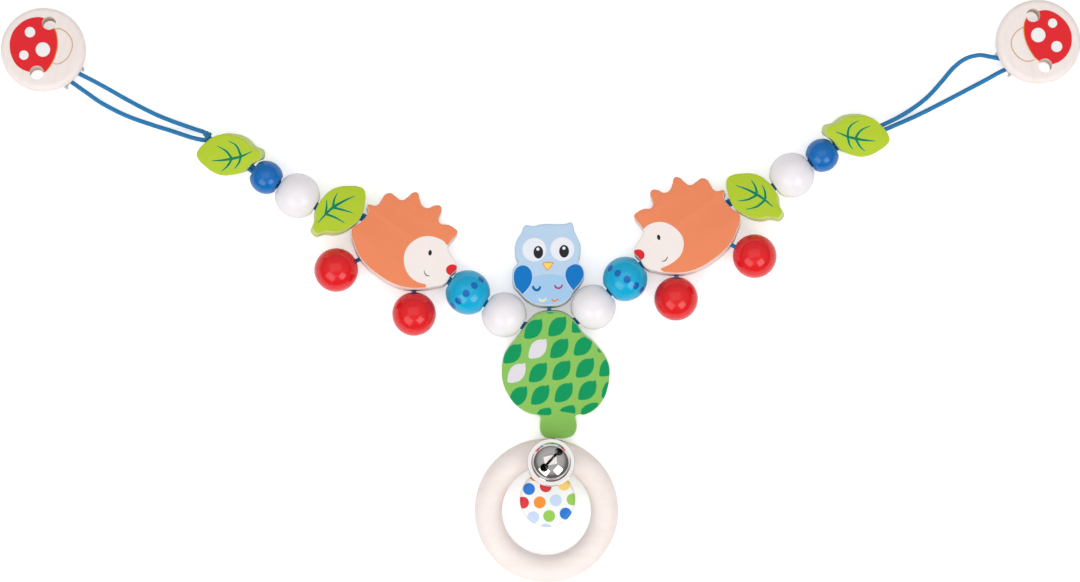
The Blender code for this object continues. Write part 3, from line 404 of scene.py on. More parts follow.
def new_object(name, mesh, coats, place=Matrix()):
    for coat in coats:
        mesh.materials.append(COATS[coat])
    obj = linked(name, mesh)
    obj.matrix_world = place
    return obj


def finish_piece(obj, body, slot, *nodes):
    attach(obj, body)
    if nodes:
        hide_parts(*nodes)


def smooth(mesh, crease=32):
    mesh.shade_smooth()
    mesh.set_sharp_from_angle(angle=math.radians(crease))


def mesh_of(name, vertices, faces):
    mesh = bpy.data.meshes.new(name)
    mesh.from_pydata(vertices, [], faces)
    return mesh


def fix_normals(mesh, weld=None):
    """Turns all faces outward, after joining points less than weld apart."""
    work = bmesh.new()
    work.from_mesh(mesh)
    if weld:
        bmesh.ops.remove_doubles(work, verts=work.verts, dist=weld)
    bmesh.ops.recalc_face_normals(work, faces=work.faces)
    work.to_mesh(mesh)
    work.free()


def join_meshes(name, meshes):
    work = bmesh.new()
    for mesh in meshes:
        work.from_mesh(mesh)
    joined = bpy.data.meshes.new(name)
    work.to_mesh(joined)
    work.free()
    return joined


def round_steps(count):
    """The cosine and sine of each step round a circle."""
    angles = [2 * math.pi * i / count for i in range(count)]
    return [(math.cos(angle), math.sin(angle)) for angle in angles]


def revolve(name, profile, steps, closed=False):
    """A mesh turned about Z from (radius, height) points; the ends of an open one are on the axis."""
    vertices = []
    rows = []
    for radius, height in profile:
        first = len(vertices)
        if radius < 1e-7:
            vertices.append((0.0, 0.0, height))
        else:
            vertices += [(radius * cosine, radius * sine, height) for cosine, sine in round_steps(steps)]
        rows.append(range(first, len(vertices)))
    faces = []
    for upper, lower in zip(rows, rows[1:] + rows[:1] if closed else rows[1:]):
        for i in range(steps):
            j = (i + 1) % steps
            if len(upper) == 1:
                faces.append((upper[0], lower[i], lower[j]))
            elif len(lower) == 1:
                faces.append((upper[i], lower[0], upper[j]))
            else:
                faces.append((upper[i], lower[i], lower[j], upper[j]))
    mesh = mesh_of(name, vertices, faces)
    fix_normals(mesh)
    smooth(mesh)
    return mesh


def arc(centre, radius, start, end, steps):
    """Points of an arc in a plane, angles in degrees."""
    angles = [math.radians(start + (end - start) * i / steps) for i in range(steps + 1)]
    return [(centre[0] + radius * math.cos(angle), centre[1] + radius * math.sin(angle)) for angle in angles]


def rod(radius, length, sides=32):
    """A cylinder along Z, centred."""
    half = length / 2
    return revolve("rod", [(0.0, half), (radius, half), (radius, -half), (0.0, -half)], sides)


def tube_mesh(name, points, radius):
    """A capped tube along points, with U round it and V along it in metres."""
    points = [Vector(point) for point in points]
    lengths = [0.0]
    for a, b in zip(points, points[1:]):
        lengths.append(lengths[-1] + (b - a).length)
    tangent = (points[1] - points[0]).normalized()
    side = tangent.cross(UP)
    if side.length < 0.1:
        side = tangent.cross(Vector((0.0, 1.0, 0.0)))
    side.normalize()
    vertices = []
    for i, point in enumerate(points):
        tangent = (points[min(len(points) - 1, i + 1)] - points[max(0, i - 1)]).normalized()
        side = (side - tangent * side.dot(tangent)).normalized()
        up = tangent.cross(side)
        vertices += [point + (side * cosine + up * sine) * radius for cosine, sine in round_steps(TUBE_SIDES)]
    # A corner is (row, step round); the step after the last has U 1 and the first one's vertex
    faces = [((i, j), (i, j + 1), (i + 1, j + 1), (i + 1, j))
             for i in range(len(points) - 1) for j in range(TUBE_SIDES)]
    faces.append([(0, j) for j in reversed(range(TUBE_SIDES))])
    faces.append([(len(points) - 1, j) for j in range(TUBE_SIDES)])
    mesh = mesh_of(name, vertices, [[i * TUBE_SIDES + j % TUBE_SIDES for i, j in face] for face in faces])
    layer = mesh.uv_layers.new(name="UVMap")
    for corner, (i, j) in zip(layer.data, sum(map(list, faces), [])):
        corner.uv = (j / TUBE_SIDES, lengths[i])
    fix_normals(mesh)
    smooth(mesh, crease=60)
    return mesh


def between(before, start, end, after, t):
    """The point at share t from start to end, on a smooth curve through all four."""
    bend = (2 * start + (end - before) * t + (2 * before - 5 * start + 4 * end - after) * t ** 2
            + (3 * start - 3 * end + after - before) * t ** 3)
    return bend / 2


def smooth_run(points, spacing):
    """Points about the spacing apart along a smooth curve through the given ones."""
    places = [Vector(point) for point in points]
    ends = [2 * places[0] - places[1]] + places + [2 * places[-1] - places[-2]]
    run = []
    for i in range(1, len(places)):
        stretch = ends[i - 1:i + 3]
        pieces = max(1, round((stretch[2] - stretch[1]).length / spacing))
        run += [between(*stretch, j / pieces) for j in range(pieces)]
    run.append(places[-1])
    return run


def evaluated_mesh(obj):
    """The object's mesh as its curve or its modifiers leave it."""
    bpy.context.view_layer.update()
    graph = bpy.context.evaluated_depsgraph_get()
    return bpy.data.meshes.new_from_object(obj.evaluated_get(graph))


def curve_mesh(points, solid):
    """A closed smooth outline as a plate with rounded edges, or as a bare loop when it isn't solid."""
    curve = bpy.data.curves.new("outline", "CURVE")
    curve.dimensions = "2D" if solid else "3D"
    if solid:
        curve.fill_mode = "BOTH"
        curve.extrude = PLATE_THICKNESS / 2 - PLATE_ROUNDING
        curve.bevel_depth = PLATE_ROUNDING
        curve.bevel_resolution = 3
        curve.offset = -PLATE_ROUNDING
    spline = curve.splines.new("BEZIER")
    spline.use_cyclic_u = True
    spline.resolution_u = OUTLINE_STEPS
    spline.bezier_points.add(len(points) - 1)
    for point, (x, y) in zip(spline.bezier_points, points):
        point.co = (x, y, 0.0)
        point.handle_left_type = "AUTO"
        point.handle_right_type = "AUTO"
    obj = linked("outline", curve)
    mesh = evaluated_mesh(obj)
    bpy.data.objects.remove(obj, do_unlink=True)
    return mesh


def cut_through(obj, tools, crease=40):
    """Cuts tools, (mesh, place in the object's frame), out of an object for good."""
    for mesh, place in tools:
        tool = linked("tool", mesh)
        tool.matrix_world = obj.matrix_world @ place
        step = obj.modifiers.new("cut", "BOOLEAN")
        step.operation = "DIFFERENCE"
        step.solver = "EXACT"
        step.object = tool
        obj.data = evaluated_mesh(obj)
        obj.modifiers.clear()
        bpy.data.objects.remove(tool, do_unlink=True)
    smooth(obj.data, crease)


# Printed shapes

def inside(point, polygon):
    hit = False
    x, y = point
    for (ax, ay), (bx, by) in zip(polygon, polygon[1:] + polygon[:1]):
        if (ay > y) != (by > y) and x < (bx - ax) * (y - ay) / (by - ay) + ax:
            hit = not hit
    return hit


def filled(shapes, keep, leave):
    """Triangles that cover the shapes where they lie in every kept outline and in no left one."""
    points = []
    edges = []
    for loop in (*shapes, *keep, *leave):
        start = len(points)
        points += [Vector(point) for point in loop]
        edges += [(start + i, start + (i + 1) % len(loop)) for i in range(len(loop))]
    found = delaunay_2d_cdt(points, edges, [], 0, 1e-7)
    vertices, triangles = found[0], found[2]
    chosen = []
    for triangle in triangles:
        middle = sum((vertices[i] for i in triangle), Vector((0.0, 0.0))) / 3
        if (any(inside(middle, shape) for shape in shapes) and all(inside(middle, shape) for shape in keep)
                and not any(inside(middle, shape) for shape in leave)):
            chosen.append(triangle)
    return vertices, chosen


def oval(centre, radius_x, radius_y=None, angle=0.0, steps=40):
    """An ellipse as a loop of points."""
    radius_y = radius_y or radius_x
    cosine = math.cos(math.radians(angle))
    sine = math.sin(math.radians(angle))
    points = []
    for u, v in round_steps(steps):
        x = radius_x * u
        y = radius_y * v
        points.append((centre[0] + x * cosine - y * sine, centre[1] + x * sine + y * cosine))
    return points


def stroke(points, widths, spacing=0.5):
    """A line of changing width with blunt ends, as a loop of points."""
    run = smooth_run([(x, y, 0.0) for x, y in points], spacing)
    count = len(run) - 1
    left = []
    right = []
    for i, point in enumerate(run):
        share = i / count * (len(widths) - 1)
        low = min(int(share), len(widths) - 2)
        width = widths[low] + (widths[low + 1] - widths[low]) * (share - low)
        direction = (run[min(count, i + 1)] - run[max(0, i - 1)]).normalized()
        normal = Vector((-direction.y, direction.x, 0.0))
        left.append((point + normal * width / 2)[:2])
        right.append((point - normal * width / 2)[:2])
    return left + right[::-1]


def drawn_run(points):
    """A closed loop with a few points put between the given ones, smooth but close to them."""
    places = [Vector(point) for point in points]
    stretches = zip(places[-1:] + places[:-1], places, places[1:] + places[:1], places[2:] + places[:2])
    return [tuple(between(*stretch, j / DRAWN_STEPS)) for stretch in stretches for j in range(DRAWN_STEPS)]


def grown(loop, distance):
    """A loop moved away from its middle."""
    middle = sum((Vector(point) for point in loop), Vector((0.0, 0.0))) / len(loop)
    return [tuple(middle + (Vector(p) - middle) * (1 + distance / (Vector(p) - middle).length)) for p in loop]


def inset(loop, distance):
    """A loop moved in by a distance."""
    area = sum(a[0] * b[1] - b[0] * a[1] for a, b in zip(loop, loop[1:] + loop[:1]))
    sign = 1 if area > 0 else -1
    moved = []
    for i, (x, y) in enumerate(loop):
        direction = (Vector(loop[(i + 1) % len(loop)]) - Vector(loop[i - 1])).normalized()
        moved.append((x - sign * direction.y * distance, y + sign * direction.x * distance))
    return moved


@dataclass
class Printer:
    """Prints loops given in the photograph's pixels on both faces of a flat piece."""
    prefix: str
    place: Matrix
    height: float
    body: str
    slot: str
    keep: list
    leave: list = ()
    nudge: tuple = (0.0, 0.0)       # in pixels

    def mapped(self, loop):
        dx, dy = self.nudge
        return [tuple(pixel_on(self.place, self.height, x + dx, y + dy)[:2]) for x, y in loop]

    def print(self, name, coat, loops, layer=1):
        """Prints loops where they lie in every kept outline and in no left one."""
        flat, triangles = filled([self.mapped(loop) for loop in loops], self.keep, self.leave)
        vertices = []
        faces = []
        for side in (1, -1):
            start = len(vertices)
            vertices += [(x, y, side * (self.height + layer * INK)) for x, y in flat]
            faces += [[start + i for i in triangle][::side] for triangle in triangles]
        name = f"{self.prefix}_{name}"
        mesh = mesh_of(name, vertices, faces)
        work = bmesh.new()
        work.from_mesh(mesh)
        loose = [vertex for vertex in work.verts if not vertex.link_faces]
        bmesh.ops.delete(work, geom=loose, context="VERTS")
        work.to_mesh(mesh)
        work.free()
        finish_piece(new_object(name, mesh, [coat], self.place), self.body, self.slot)


def add_figure(name, outline, coats, place, bores, margin, nudge=(0.0, 0.0)):
    """A wooden figure with painted faces, pale walls, rounded edges and its bores, and its printer."""
    mesh = curve_mesh(inset(outline, LIMIT_GAP), solid=True)
    fix_normals(mesh, WELD)
    obj = new_object(f"{name}_look", mesh, coats, place)
    cut_through(obj, bores)
    for face in obj.data.polygons:
        face.material_index = 0 if abs(face.normal.z) > FACING else 1
    finish_piece(obj, name, coats[0], name)
    loop = [Vector(vertex.co[:2]) for vertex in curve_mesh(outline, solid=False).vertices]
    return obj, Printer(name, place, PLATE_THICKNESS / 2, name, coats[0], [inset(loop, margin)], nudge=nudge)


def tint_rim(obj, coat, loop):
    """Gives the rounded edges of a figure's faces a coat where they lie in a loop."""
    obj.data.materials.append(COATS[coat])
    last = len(obj.data.materials) - 1
    for face in obj.data.polygons:
        if FACING < abs(face.normal.z) < FLAT and inside(face.center[:2], loop):
            face.material_index = last


# Beads

def flat_of(radius, flat):
    """Where a ball's flat lies: the angle of its edge from the axis, and its distance from the middle."""
    return math.degrees(math.asin(flat / radius)), math.sqrt(radius ** 2 - flat ** 2)


def add_bead(name, coat, slot, diameter):
    """A ball with two small flats and a softened bore, drawn down its outer side and up the bore."""
    radius = diameter / 2 - LIMIT_GAP
    edge, half = flat_of(radius, BEAD_FLAT)
    bore, soft = BORE / 2, BORE_SOFTNESS
    ball = arc((0.0, 0.0), radius, 89 - edge, edge - 89, steps=40)
    upper = [(bore, half - soft), (bore + soft, half), (BEAD_FLAT - soft, half)]
    lower = [(x, -z) for x, z in reversed(upper)]
    profile = upper[2:] + ball + lower + upper[:2]
    spin = f"{name}_spin"
    place = axes(spot(spin), way(spin)) @ ALONG_X
    mesh = revolve(name, profile, BEAD_STEPS, True)
    finish_piece(new_object(f"{name}_look", mesh, [coat], place), name, slot, name)


def add_red_bead(name, centre, mouth):
    """A ball with one flat and a blind bore toward its cord."""
    radius = RED_DIAMETER / 2 - LIMIT_GAP
    edge, half = flat_of(radius, LEG_FLAT)
    bore, soft, floor = LEG_BORE / 2, LEG_SOFTNESS, half - LEG_DEPTH
    profile = [(0.0, -radius)] + arc((0.0, 0.0), radius, -88, 89 - edge, steps=44)
    profile += [(LEG_FLAT - soft, half), (bore + soft, half), (bore, half - soft)]
    profile += [(bore, floor), (0.0, floor)]
    place = axes(centre, mouth - centre) @ ALONG_X
    bead = new_object(f"{name}_bead_look", revolve(name, profile, BEAD_STEPS), ["red_lacquer"], place)
    finish_piece(bead, name, "red_lacquer", f"{name}_bead")


# Cords

def add_tubes(name, runs, coat="braided_cord", radius=STRAND / 2, place=Matrix()):
    mesh = join_meshes(name, [tube_mesh(name, run, radius) for run in runs])
    return new_object(name, mesh, [coat], place)


def strand_in(place, x, side):
    return place @ Vector((x, side * STRAND / 2, 0.0))


def add_arm_cords(side_name, tree_start):
    """Both strands of one arm: a stretch for each joint, from the middle of one link to the next."""
    joints = [spot(f"{side_name}_{piece}_bend") for piece in ARM_PIECES] + [spot(f"{side_name}_loop_swing")]
    places = [axes(a, b - a) for a, b in zip([tree_start] + joints, joints)]
    lengths = [(b - a).length for a, b in zip([tree_start] + joints, joints)]
    for k, piece in enumerate(ARM_PIECES):
        before, after = places[k], places[k + 1]
        start = 0.0 if k == 0 else lengths[k] / 2
        stop = lengths[k] - STRAIGHT
        middle = lengths[k + 1] / 2
        runs = []
        for side in (1, -1):
            run = [strand_in(before, x, side) for x in (start, (start + stop) / 2, stop)]
            run += [strand_in(after, x, side) for x in (STRAIGHT, (STRAIGHT + middle) / 2, middle)]
            runs.append(smooth_run(run, CORD_STEP))
        name = f"{side_name}_{piece}_cord"
        obj = add_tubes(f"{name}_look", runs)
        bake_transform(obj)
        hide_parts(name, *(["tree_cord"] if name == "left_inner_white_bead_cord" else []))
    return places[-1], lengths[-1]


# The end loops, as shares of their length, each in its own frame: out along the strand nearer
# the top of the view, round the clip's rod and back
LOOP_SHARES = {
    "left": (
        (0.0179, 0.0179, 0.0), (0.0593, 0.0262, -0.0138), (0.1297, 0.0193, -0.0497),
        (0.2979, 0.0041, -0.0883), (0.4372, 0.0, -0.0924), (0.6069, 0.0083, -0.0855),
        (0.7586, 0.0221, -0.0552), (0.869, 0.0303, -0.0138), (0.9448, 0.0331, 0.0138),
        (0.9917, 0.0345, 0.0234), (1.0152, 0.0248, 0.0179), (1.0283, 0.0062, 0.0014),
        (1.0248, -0.0159, -0.0152), (1.0077, -0.0345, -0.0207), (0.9517, -0.0469, -0.0303),
        (0.869, -0.0634, -0.0607), (0.7586, -0.0828, -0.0883), (0.5834, -0.0897, -0.0924),
        (0.4028, -0.0745, -0.0924), (0.2731, -0.0579, -0.0855), (0.1379, -0.0428, -0.0552),
        (0.0607, -0.029, -0.0166), (0.0248, -0.0179, 0.0),
    ),
    "right": (
        (0.024, 0.018, 0.0), (0.0601, 0.0165, -0.015), (0.1502, 0.0135, -0.0541),
        (0.2853, 0.021, -0.0931), (0.4204, 0.045, -0.0965), (0.5556, 0.0931, -0.0965),
        (0.6757, 0.1411, -0.0901), (0.7778, 0.1592, -0.0601), (0.8709, 0.1381, -0.021),
        (0.9384, 0.0871, 0.009), (0.994, 0.042, 0.0195), (1.018, 0.0255, 0.015),
        (1.0315, 0.0045, -0.0045), (1.0255, -0.0195, -0.0225), (1.0045, -0.039, -0.03),
        (0.9309, -0.039, -0.045), (0.8258, -0.042, -0.0811), (0.7057, -0.042, -0.0965),
        (0.5571, -0.042, -0.0965), (0.3859, -0.0405, -0.0965), (0.2553, -0.036, -0.0901),
        (0.1351, -0.027, -0.0541), (0.0601, -0.021, -0.015), (0.024, -0.018, 0.0),
    ),
}
LOOP_LENGTH = {"left": 73.0 * MM, "right": 68.4 * MM}
LOOP_HEADINGS = {"left": 24.6, "right": 27.8}
LOOP_STEP = 1.0 * MM
KNOT_TURNS = 1.3
KNOT_STEPS = 24
KNOT_STRAND = 0.9 * STRAND
KNOT_START = (1.1 * MM, 0.8 * MM)           # of the knot's middle line, in the loop's frame
KNOT_LENGTH = 2.0 * MM
KNOT_HALF_WIDTH = 1.5 * MM
KNOT_HALF_HEIGHT = 1.6 * MM


def add_loop(side_name, side, last_place, last_length):
    """The end loop as a free cord, and the short run that joins it to the leaf's cord."""
    joint = spot(f"{side_name}_loop_swing")
    heading = LOOP_HEADINGS[side_name]
    place = Matrix.Translation(joint) @ turn(heading if side > 0 else 180 - heading, "Z")
    reach = LOOP_LENGTH[side_name]
    route = [place @ (Vector((x, side * y, z)) * reach) for x, y, z in LOOP_SHARES[side_name]]
    run = [Vector((x, y, max(z, LOOP_STRAND / 2))) for x, y, z in smooth_run(route, LOOP_STEP)]
    loop = add_tubes(f"{side_name}_loop_look", [run], radius=LOOP_STRAND / 2)
    finish_piece(loop, f"{side_name}_loop", "elastic_cord", f"{side_name}_loop_cord")
    runs = []
    for strand_side, end in ((1, route[0]), (-1, route[-1])):
        strand = [strand_in(last_place, x, strand_side)
                  for x in (last_length / 2, last_length * 0.75, last_length - BEND_REACH)]
        runs.append(smooth_run(strand + [end], CORD_STEP))
    root = add_tubes(f"{side_name}_loop_root_look", runs, radius=LOOP_STRAND / 2)
    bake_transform(root)
    if side_name == "left":
        coil = []
        for i in range(KNOT_STEPS + 1):
            share = i / KNOT_STEPS
            angle = 2 * KNOT_TURNS * math.pi * share
            coil.append(Vector((KNOT_START[0] + KNOT_LENGTH * share,
                                side * (KNOT_START[1] + KNOT_HALF_WIDTH * math.cos(angle)),
                                KNOT_HALF_HEIGHT * math.sin(angle))))
        knot = add_tubes("left_loop_knot_look", [[place @ point for point in coil]], radius=KNOT_STRAND / 2)
        finish_piece(knot, "left_loop", "elastic_cord")


# The hedgehogs

HEDGEHOG_SHARES = (
    (1.075, 0.20), (0.93, 0.31), (0.93, 0.46), (0.93, 0.57), (0.86, 0.653), (0.76, 0.658),
    (0.61, 0.673), (0.565, 0.785), (0.54, 0.898), (0.46, 0.959), (0.34, 0.877), (0.23, 0.816),
    (0.14, 0.836), (0.07, 0.949), (-0.03, 1.015), (-0.11, 0.959), (-0.17, 0.785), (-0.23, 0.75),
    (-0.36, 0.816), (-0.49, 0.836), (-0.585, 0.816), (-0.61, 0.724), (-0.60, 0.60), (-0.62, 0.47),
    (-0.74, 0.39), (-0.93, 0.315), (-1.0, 0.235), (-0.985, 0.11), (-0.985, -0.115),
    (-0.88, -0.26), (-0.70, -0.44), (-0.50, -0.59), (-0.22, -0.70), (0.10, -0.735),
    (0.38, -0.72), (0.62, -0.655), (0.82, -0.54), (0.98, -0.42), (1.04, -0.30), (0.985, -0.155),
    (0.975, -0.10), (0.975, 0.08), (1.02, 0.14),
)
HEDGEHOG_REACH = 26.0 * MM      # unit of the outline's shares along the bore
HEDGEHOG_HEIGHT = 26.3 * MM     # unit of its shares across the bore
LEG_MOUTHS = {"front": (-0.60, -0.555), "rear": (0.58, -0.675)}
LEG_BEADS = {"front": (-0.849, -0.891), "rear": (0.81, -1.097)}
FACE_SHAPES = {
    "left": [(447.5, 245), (443.5, 241), (436.5, 237.6), (428, 236), (419, 237.8), (411, 243), (405.6, 250.5),
             (403.8, 259), (405.2, 268), (409.5, 276), (415.5, 281), (421, 283.2), (425, 284.2), (426.3, 286),
             (425, 287.6), (422.5, 288.6), (423, 294), (440, 294), (472, 282), (475, 255), (455, 243)],
    "right": [(641.5, 229.8), (648, 225.2), (655, 222.4), (662, 222), (670, 224.5), (678, 230.6),
              (682.8, 238), (683.6, 245.5), (681.3, 254), (676, 260.2), (669, 264.8), (662.3, 267.8),
              (660.6, 269.4), (662.3, 271.2), (665, 272.6), (664, 279), (645, 281), (617, 266), (616, 240),
              (634, 227)],
}
HEDGEHOG_ROLL = 10              # degrees that a hedgehog leans on its cord
LEG_TAIL = 0.6 * MM             # of a leg's cord inside the hedgehog
LEG_HOLD = 4.6 * MM             # and inside its bead
EDGE_MARGIN = 0.55 * MM         # of a figure's prints from its outline
SMILE_WIDTHS = [0.5, 0.9, 1.0, 0.5]
HEDGEHOG_PRINTS = {
    "left": {
        "nose": oval((452.3, 270.0), 6.3, 5.6),
        "eye": oval((430.1, 252.8), 1.75, 2.75, 8),
        "smile": stroke([(424.0, 270.6), (424.8, 273.4), (426.9, 275.6), (429.8, 276.0)], SMILE_WIDTHS, 0.4),
    },
    "right": {
        "nose": oval((638.6, 254.8), 6.1, 5.4, 15),
        "eye": oval((658.7, 237.4), 1.6, 2.75, -12),
        "smile": stroke([(667.4, 256.6), (666.5, 259.2), (664.4, 261.0), (661.8, 261.3)], SMILE_WIDTHS, 0.4),
    },
}
LEG_COATS = {"left": "leg_cord", "right": "braided_cord"}


def add_hedgehog(side_name, side):
    name = f"{side_name}_hedgehog"
    spin = f"{name}_spin"
    place = axes(spot(spin), way(spin)) @ turn(-side * HEDGEHOG_ROLL, "X")

    def in_outline(u, v):
        return u * HEDGEHOG_REACH, side * v * HEDGEHOG_HEIGHT
    bores = [(rod(BORE / 2, 2 * HEDGEHOG_REACH + 8 * MM), ALONG_X)]
    legs = {}
    for leg in ("front", "rear"):
        mouth = Vector((*in_outline(*LEG_MOUTHS[leg]), 0.0))
        target = Vector((*in_outline(*LEG_BEADS[leg]), 0.0))
        bores.append((rod(LEG_BORE / 2, length=4 * MM), pointed(mouth, target - mouth)))
        centre = place @ target
        centre.z = RED_DIAMETER / 2
        legs[leg] = (place @ mouth, centre)
    outline = [in_outline(u, v) for u, v in HEDGEHOG_SHARES]
    body, printer = add_figure(name, outline, ["orange_paint", "pale_wall_paint"], place, bores, EDGE_MARGIN)
    face = drawn_run(FACE_SHAPES[side_name])
    prints = HEDGEHOG_PRINTS[side_name]
    tint_rim(body, "cream_paint", printer.mapped(face))
    tint_rim(body, "red_ink", printer.mapped(prints["nose"]))
    printer.print("face", "cream_paint", [face])
    for part, coat in (("nose", "red_ink"), ("eye", "black_ink"), ("smile", "black_ink")):
        printer.print(part, coat, [prints[part]], 2)
    for leg, (mouth, centre) in legs.items():
        leg_name = f"{name}_{leg}_leg"
        add_red_bead(leg_name, centre, mouth)
        direction = (centre - mouth).normalized()
        stop = (centre - mouth).length - flat_of(RED_DIAMETER / 2, LEG_FLAT)[1] + LEG_HOLD
        run = smooth_run([mouth + direction * reach for reach in (-LEG_TAIL, stop / 2, stop)], CORD_STEP)
        cord = add_tubes(f"{leg_name}_cord_look", [run], LEG_COATS[side_name])
        finish_piece(cord, leg_name, "elastic_cord", f"{leg_name}_cord")


# The leaves

LEAF_LENGTH = 32.7 * MM
LEAF_HALF_WIDTH = 10.2 * MM
LEAF_HALF_SHARES = (
    (0.02, 0.22), (0.085, 0.325), (0.14, 0.41), (0.225, 0.69), (0.34, 0.895), (0.46, 0.98),
    (0.60, 1.0), (0.735, 0.87), (0.87, 0.57), (0.965, 0.27),
)
LEAVES = {
    "left_inner_leaf": (12, 127, (0.65, -0.2), (0.0, 0.0),
                        [[(318, 222.8), (325.8, 214), (333, 207.5), (343, 201.5), (354.5, 196)],
                         [(326.8, 199.9), (326.5, 207), (325.8, 214)],
                         [(344.5, 222.8), (335, 217.5), (325.8, 214)],
                         [(337.3, 193.2), (334.2, 200), (333, 207.5)],
                         [(353, 213), (343, 210), (333, 207.5)]]),
    "right_inner_leaf": (12, 125.5, (1.25, -2.2), (0.0, 0.0),
                         [[(736, 185.5), (746, 189), (756, 194), (765, 200), (773, 207)],
                          [(751, 180), (755, 186), (757, 193)], [(762, 185), (764.8, 191), (765.5, 199)],
                          [(738, 201), (748, 199.5), (757, 195)], [(746, 209.5), (757, 206.5), (765, 200)]]),
    "left_outer_leaf": (-11, -34, (0.4, -0.2), (0.0, 0.0),
                        [[(211.8, 160.8), (222, 160.2), (232.2, 158.6), (241.1, 156.4), (251.6, 151.6)],
                         [(216.9, 145.8), (226, 151), (232, 158.5)],
                         [(221.7, 171), (227.5, 166), (232, 158.5)],
                         [(228.4, 140.7), (236.5, 146), (241, 156)],
                         [(234.4, 168.8), (238.8, 163), (241, 156)]]),
    "right_outer_leaf": (-11, -29.5, (-0.15, 1.9), (2.6, -0.4),
                         [[(833, 132), (839, 134.5), (845, 137), (853, 139), (862, 140.6), (873, 141.4)],
                          [(856, 121), (849.5, 124.8), (846, 129.5), (845, 137)],
                          [(850.4, 150), (847, 145), (845, 137)],
                          [(867.6, 126.4), (860, 129.6), (855.5, 134), (853, 139)],
                          [(862.4, 151.6), (857.5, 147), (853, 139)]]),
}
VEIN_LAYERS = (                 # print, coat, the middle vein's widths, the side veins' widths, layer
    ("vein_halo", "vein_halo_ink", [1.4, 3.0, 3.8, 3.0, 1.4], [1.4, 3.0, 3.4], 1),
    ("veins", "vein_ink", [0.6, 1.9, 2.8, 2.1, 0.6], [0.6, 1.9, 2.5], 2),
)


def add_leaf(side_name, side, piece):
    name = f"{side_name}_{piece}"
    spin = f"{name}_spin"
    roll, bearing, (x, y), nudge, veins = LEAVES[name]
    half = [(u * LEAF_LENGTH, v * LEAF_HALF_WIDTH) for u, v in LEAF_HALF_SHARES]
    outline = [(0.0, 0.0)] + half + [(LEAF_LENGTH, 0.0)] + [(u, -v) for u, v in reversed(half)]
    middle = shift(x * MM, side * y * MM) @ turn(side * bearing, "Z") @ shift(x=-LEAF_LENGTH / 2)
    place = axes(spot(spin), way(spin)) @ turn(-side * roll, "X") @ middle
    bores = [(rod(BORE / 2, LEAF_LENGTH + 8 * MM), middle.inverted() @ ALONG_X)]
    coats = ["leaf_green_paint", "leaf_wall_paint"]
    printer = add_figure(name, outline, coats, place, bores, EDGE_MARGIN, nudge)[1]
    for label, coat, middle_widths, side_widths, layer in VEIN_LAYERS:
        widths = [middle_widths] + [side_widths] * (len(veins) - 1)
        printer.print(label, coat, [stroke(vein, width) for vein, width in zip(veins, widths)], layer)


# The tree

TREE_HEIGHT = 63.0 * MM
TREE_WIDTH = 52.6 * MM
TRUNK_DROP = 0.57 * TREE_HEIGHT
TREE_SHARES = (
    (0.0, 0.417), (0.07, 0.41), (0.135, 0.387), (0.188, 0.35), (0.299, 0.225), (0.335, 0.205),
    (0.42, 0.135), (0.49, 0.055), (0.522, -0.016), (0.522, -0.10), (0.505, -0.185),
    (0.465, -0.27), (0.385, -0.35), (0.30, -0.385), (0.215, -0.394), (0.21, -0.41),
    (0.222, -0.45), (0.218, -0.50), (0.19, -0.545), (0.12, -0.57), (0.0, -0.57),
    (-0.05, -0.57), (-0.105, -0.545), (-0.125, -0.50), (-0.125, -0.45), (-0.12, -0.41),
    (-0.135, -0.396), (-0.22, -0.378), (-0.32, -0.33), (-0.405, -0.25), (-0.46, -0.155), (-0.478, -0.045),
    (-0.458, 0.07), (-0.415, 0.135), (-0.344, 0.204), (-0.22, 0.345), (-0.168, 0.386),
    (-0.085, 0.411),
)
TREE_MOUTHS = (Vector((-0.2849 * TREE_WIDTH, 0.2947 * TREE_HEIGHT)),
               Vector((0.2250 * TREE_WIDTH, 0.3302 * TREE_HEIGHT)))
TREE_RISE = 11.2 * MM           # of the arms' cord in the tree, over the floor
TREE_TILT = math.asin((TREE_RISE - RING_TUBE / 2) / (TRUNK_DROP + (TREE_MOUTHS[0].y + TREE_MOUTHS[1].y) / 2))
OWL_SHIFT = -1.9 * MM
LEAF_STAMP = [(7.8, -9.8), (8.6, -8), (8.9, -3.5), (7.4, 2.8), (3, 7.8), (-2.6, 9.7), (-7, 9.9), (-9.2, 8.8),
              (-9.2, 5.6), (-8.2, 0.3), (-5.6, -4.8), (-1.6, -8), (2.9, -9.2), (5, -8.9)]
GREEN_STAMPS = [(533.5, 328.8), (557.5, 326.3), (512.6, 353.5), (559.5, 348.2), (583.1, 345.7),
                (538.2, 372.4), (561.6, 370.2), (585.2, 367.7), (518.4, 396), (540.4, 394.8),
                (563.9, 392.3), (587.5, 390.1), (608.5, 366.5), (611.0, 388.5)]
WHITE_STAMPS = [(537.9, 348.6), (516.7, 372.8)]
CUT_STAMPS = [
    [(572.5, 321), (576, 324), (582, 330.5), (581, 332.5), (575, 333), (571.8, 332), (571.8, 326)],
    [(598.5, 346.0), (603, 352), (599.5, 352.7), (597.3, 350.5)],
    [(559.5, 410.5), (563, 407.5), (569, 405.4), (573.5, 405), (575.3, 408), (575.5, 412), (575, 413.8),
     (568, 412.6), (562, 411.8)],
    [(536.5, 413.5), (540, 409.5), (545, 408), (549.5, 407.5), (551.3, 409.5), (551.5, 414), (548, 415.4),
     (541, 415)],
    [(580.6, 414), (581.6, 409), (586, 405), (592, 402.8), (597, 402.6), (598.6, 404), (597, 407), (590, 412),
     (583, 415)],
]
TREE_TOP = TREE_SHARES[0][1] * TREE_HEIGHT
TREE_MARGIN = 0.3 * MM


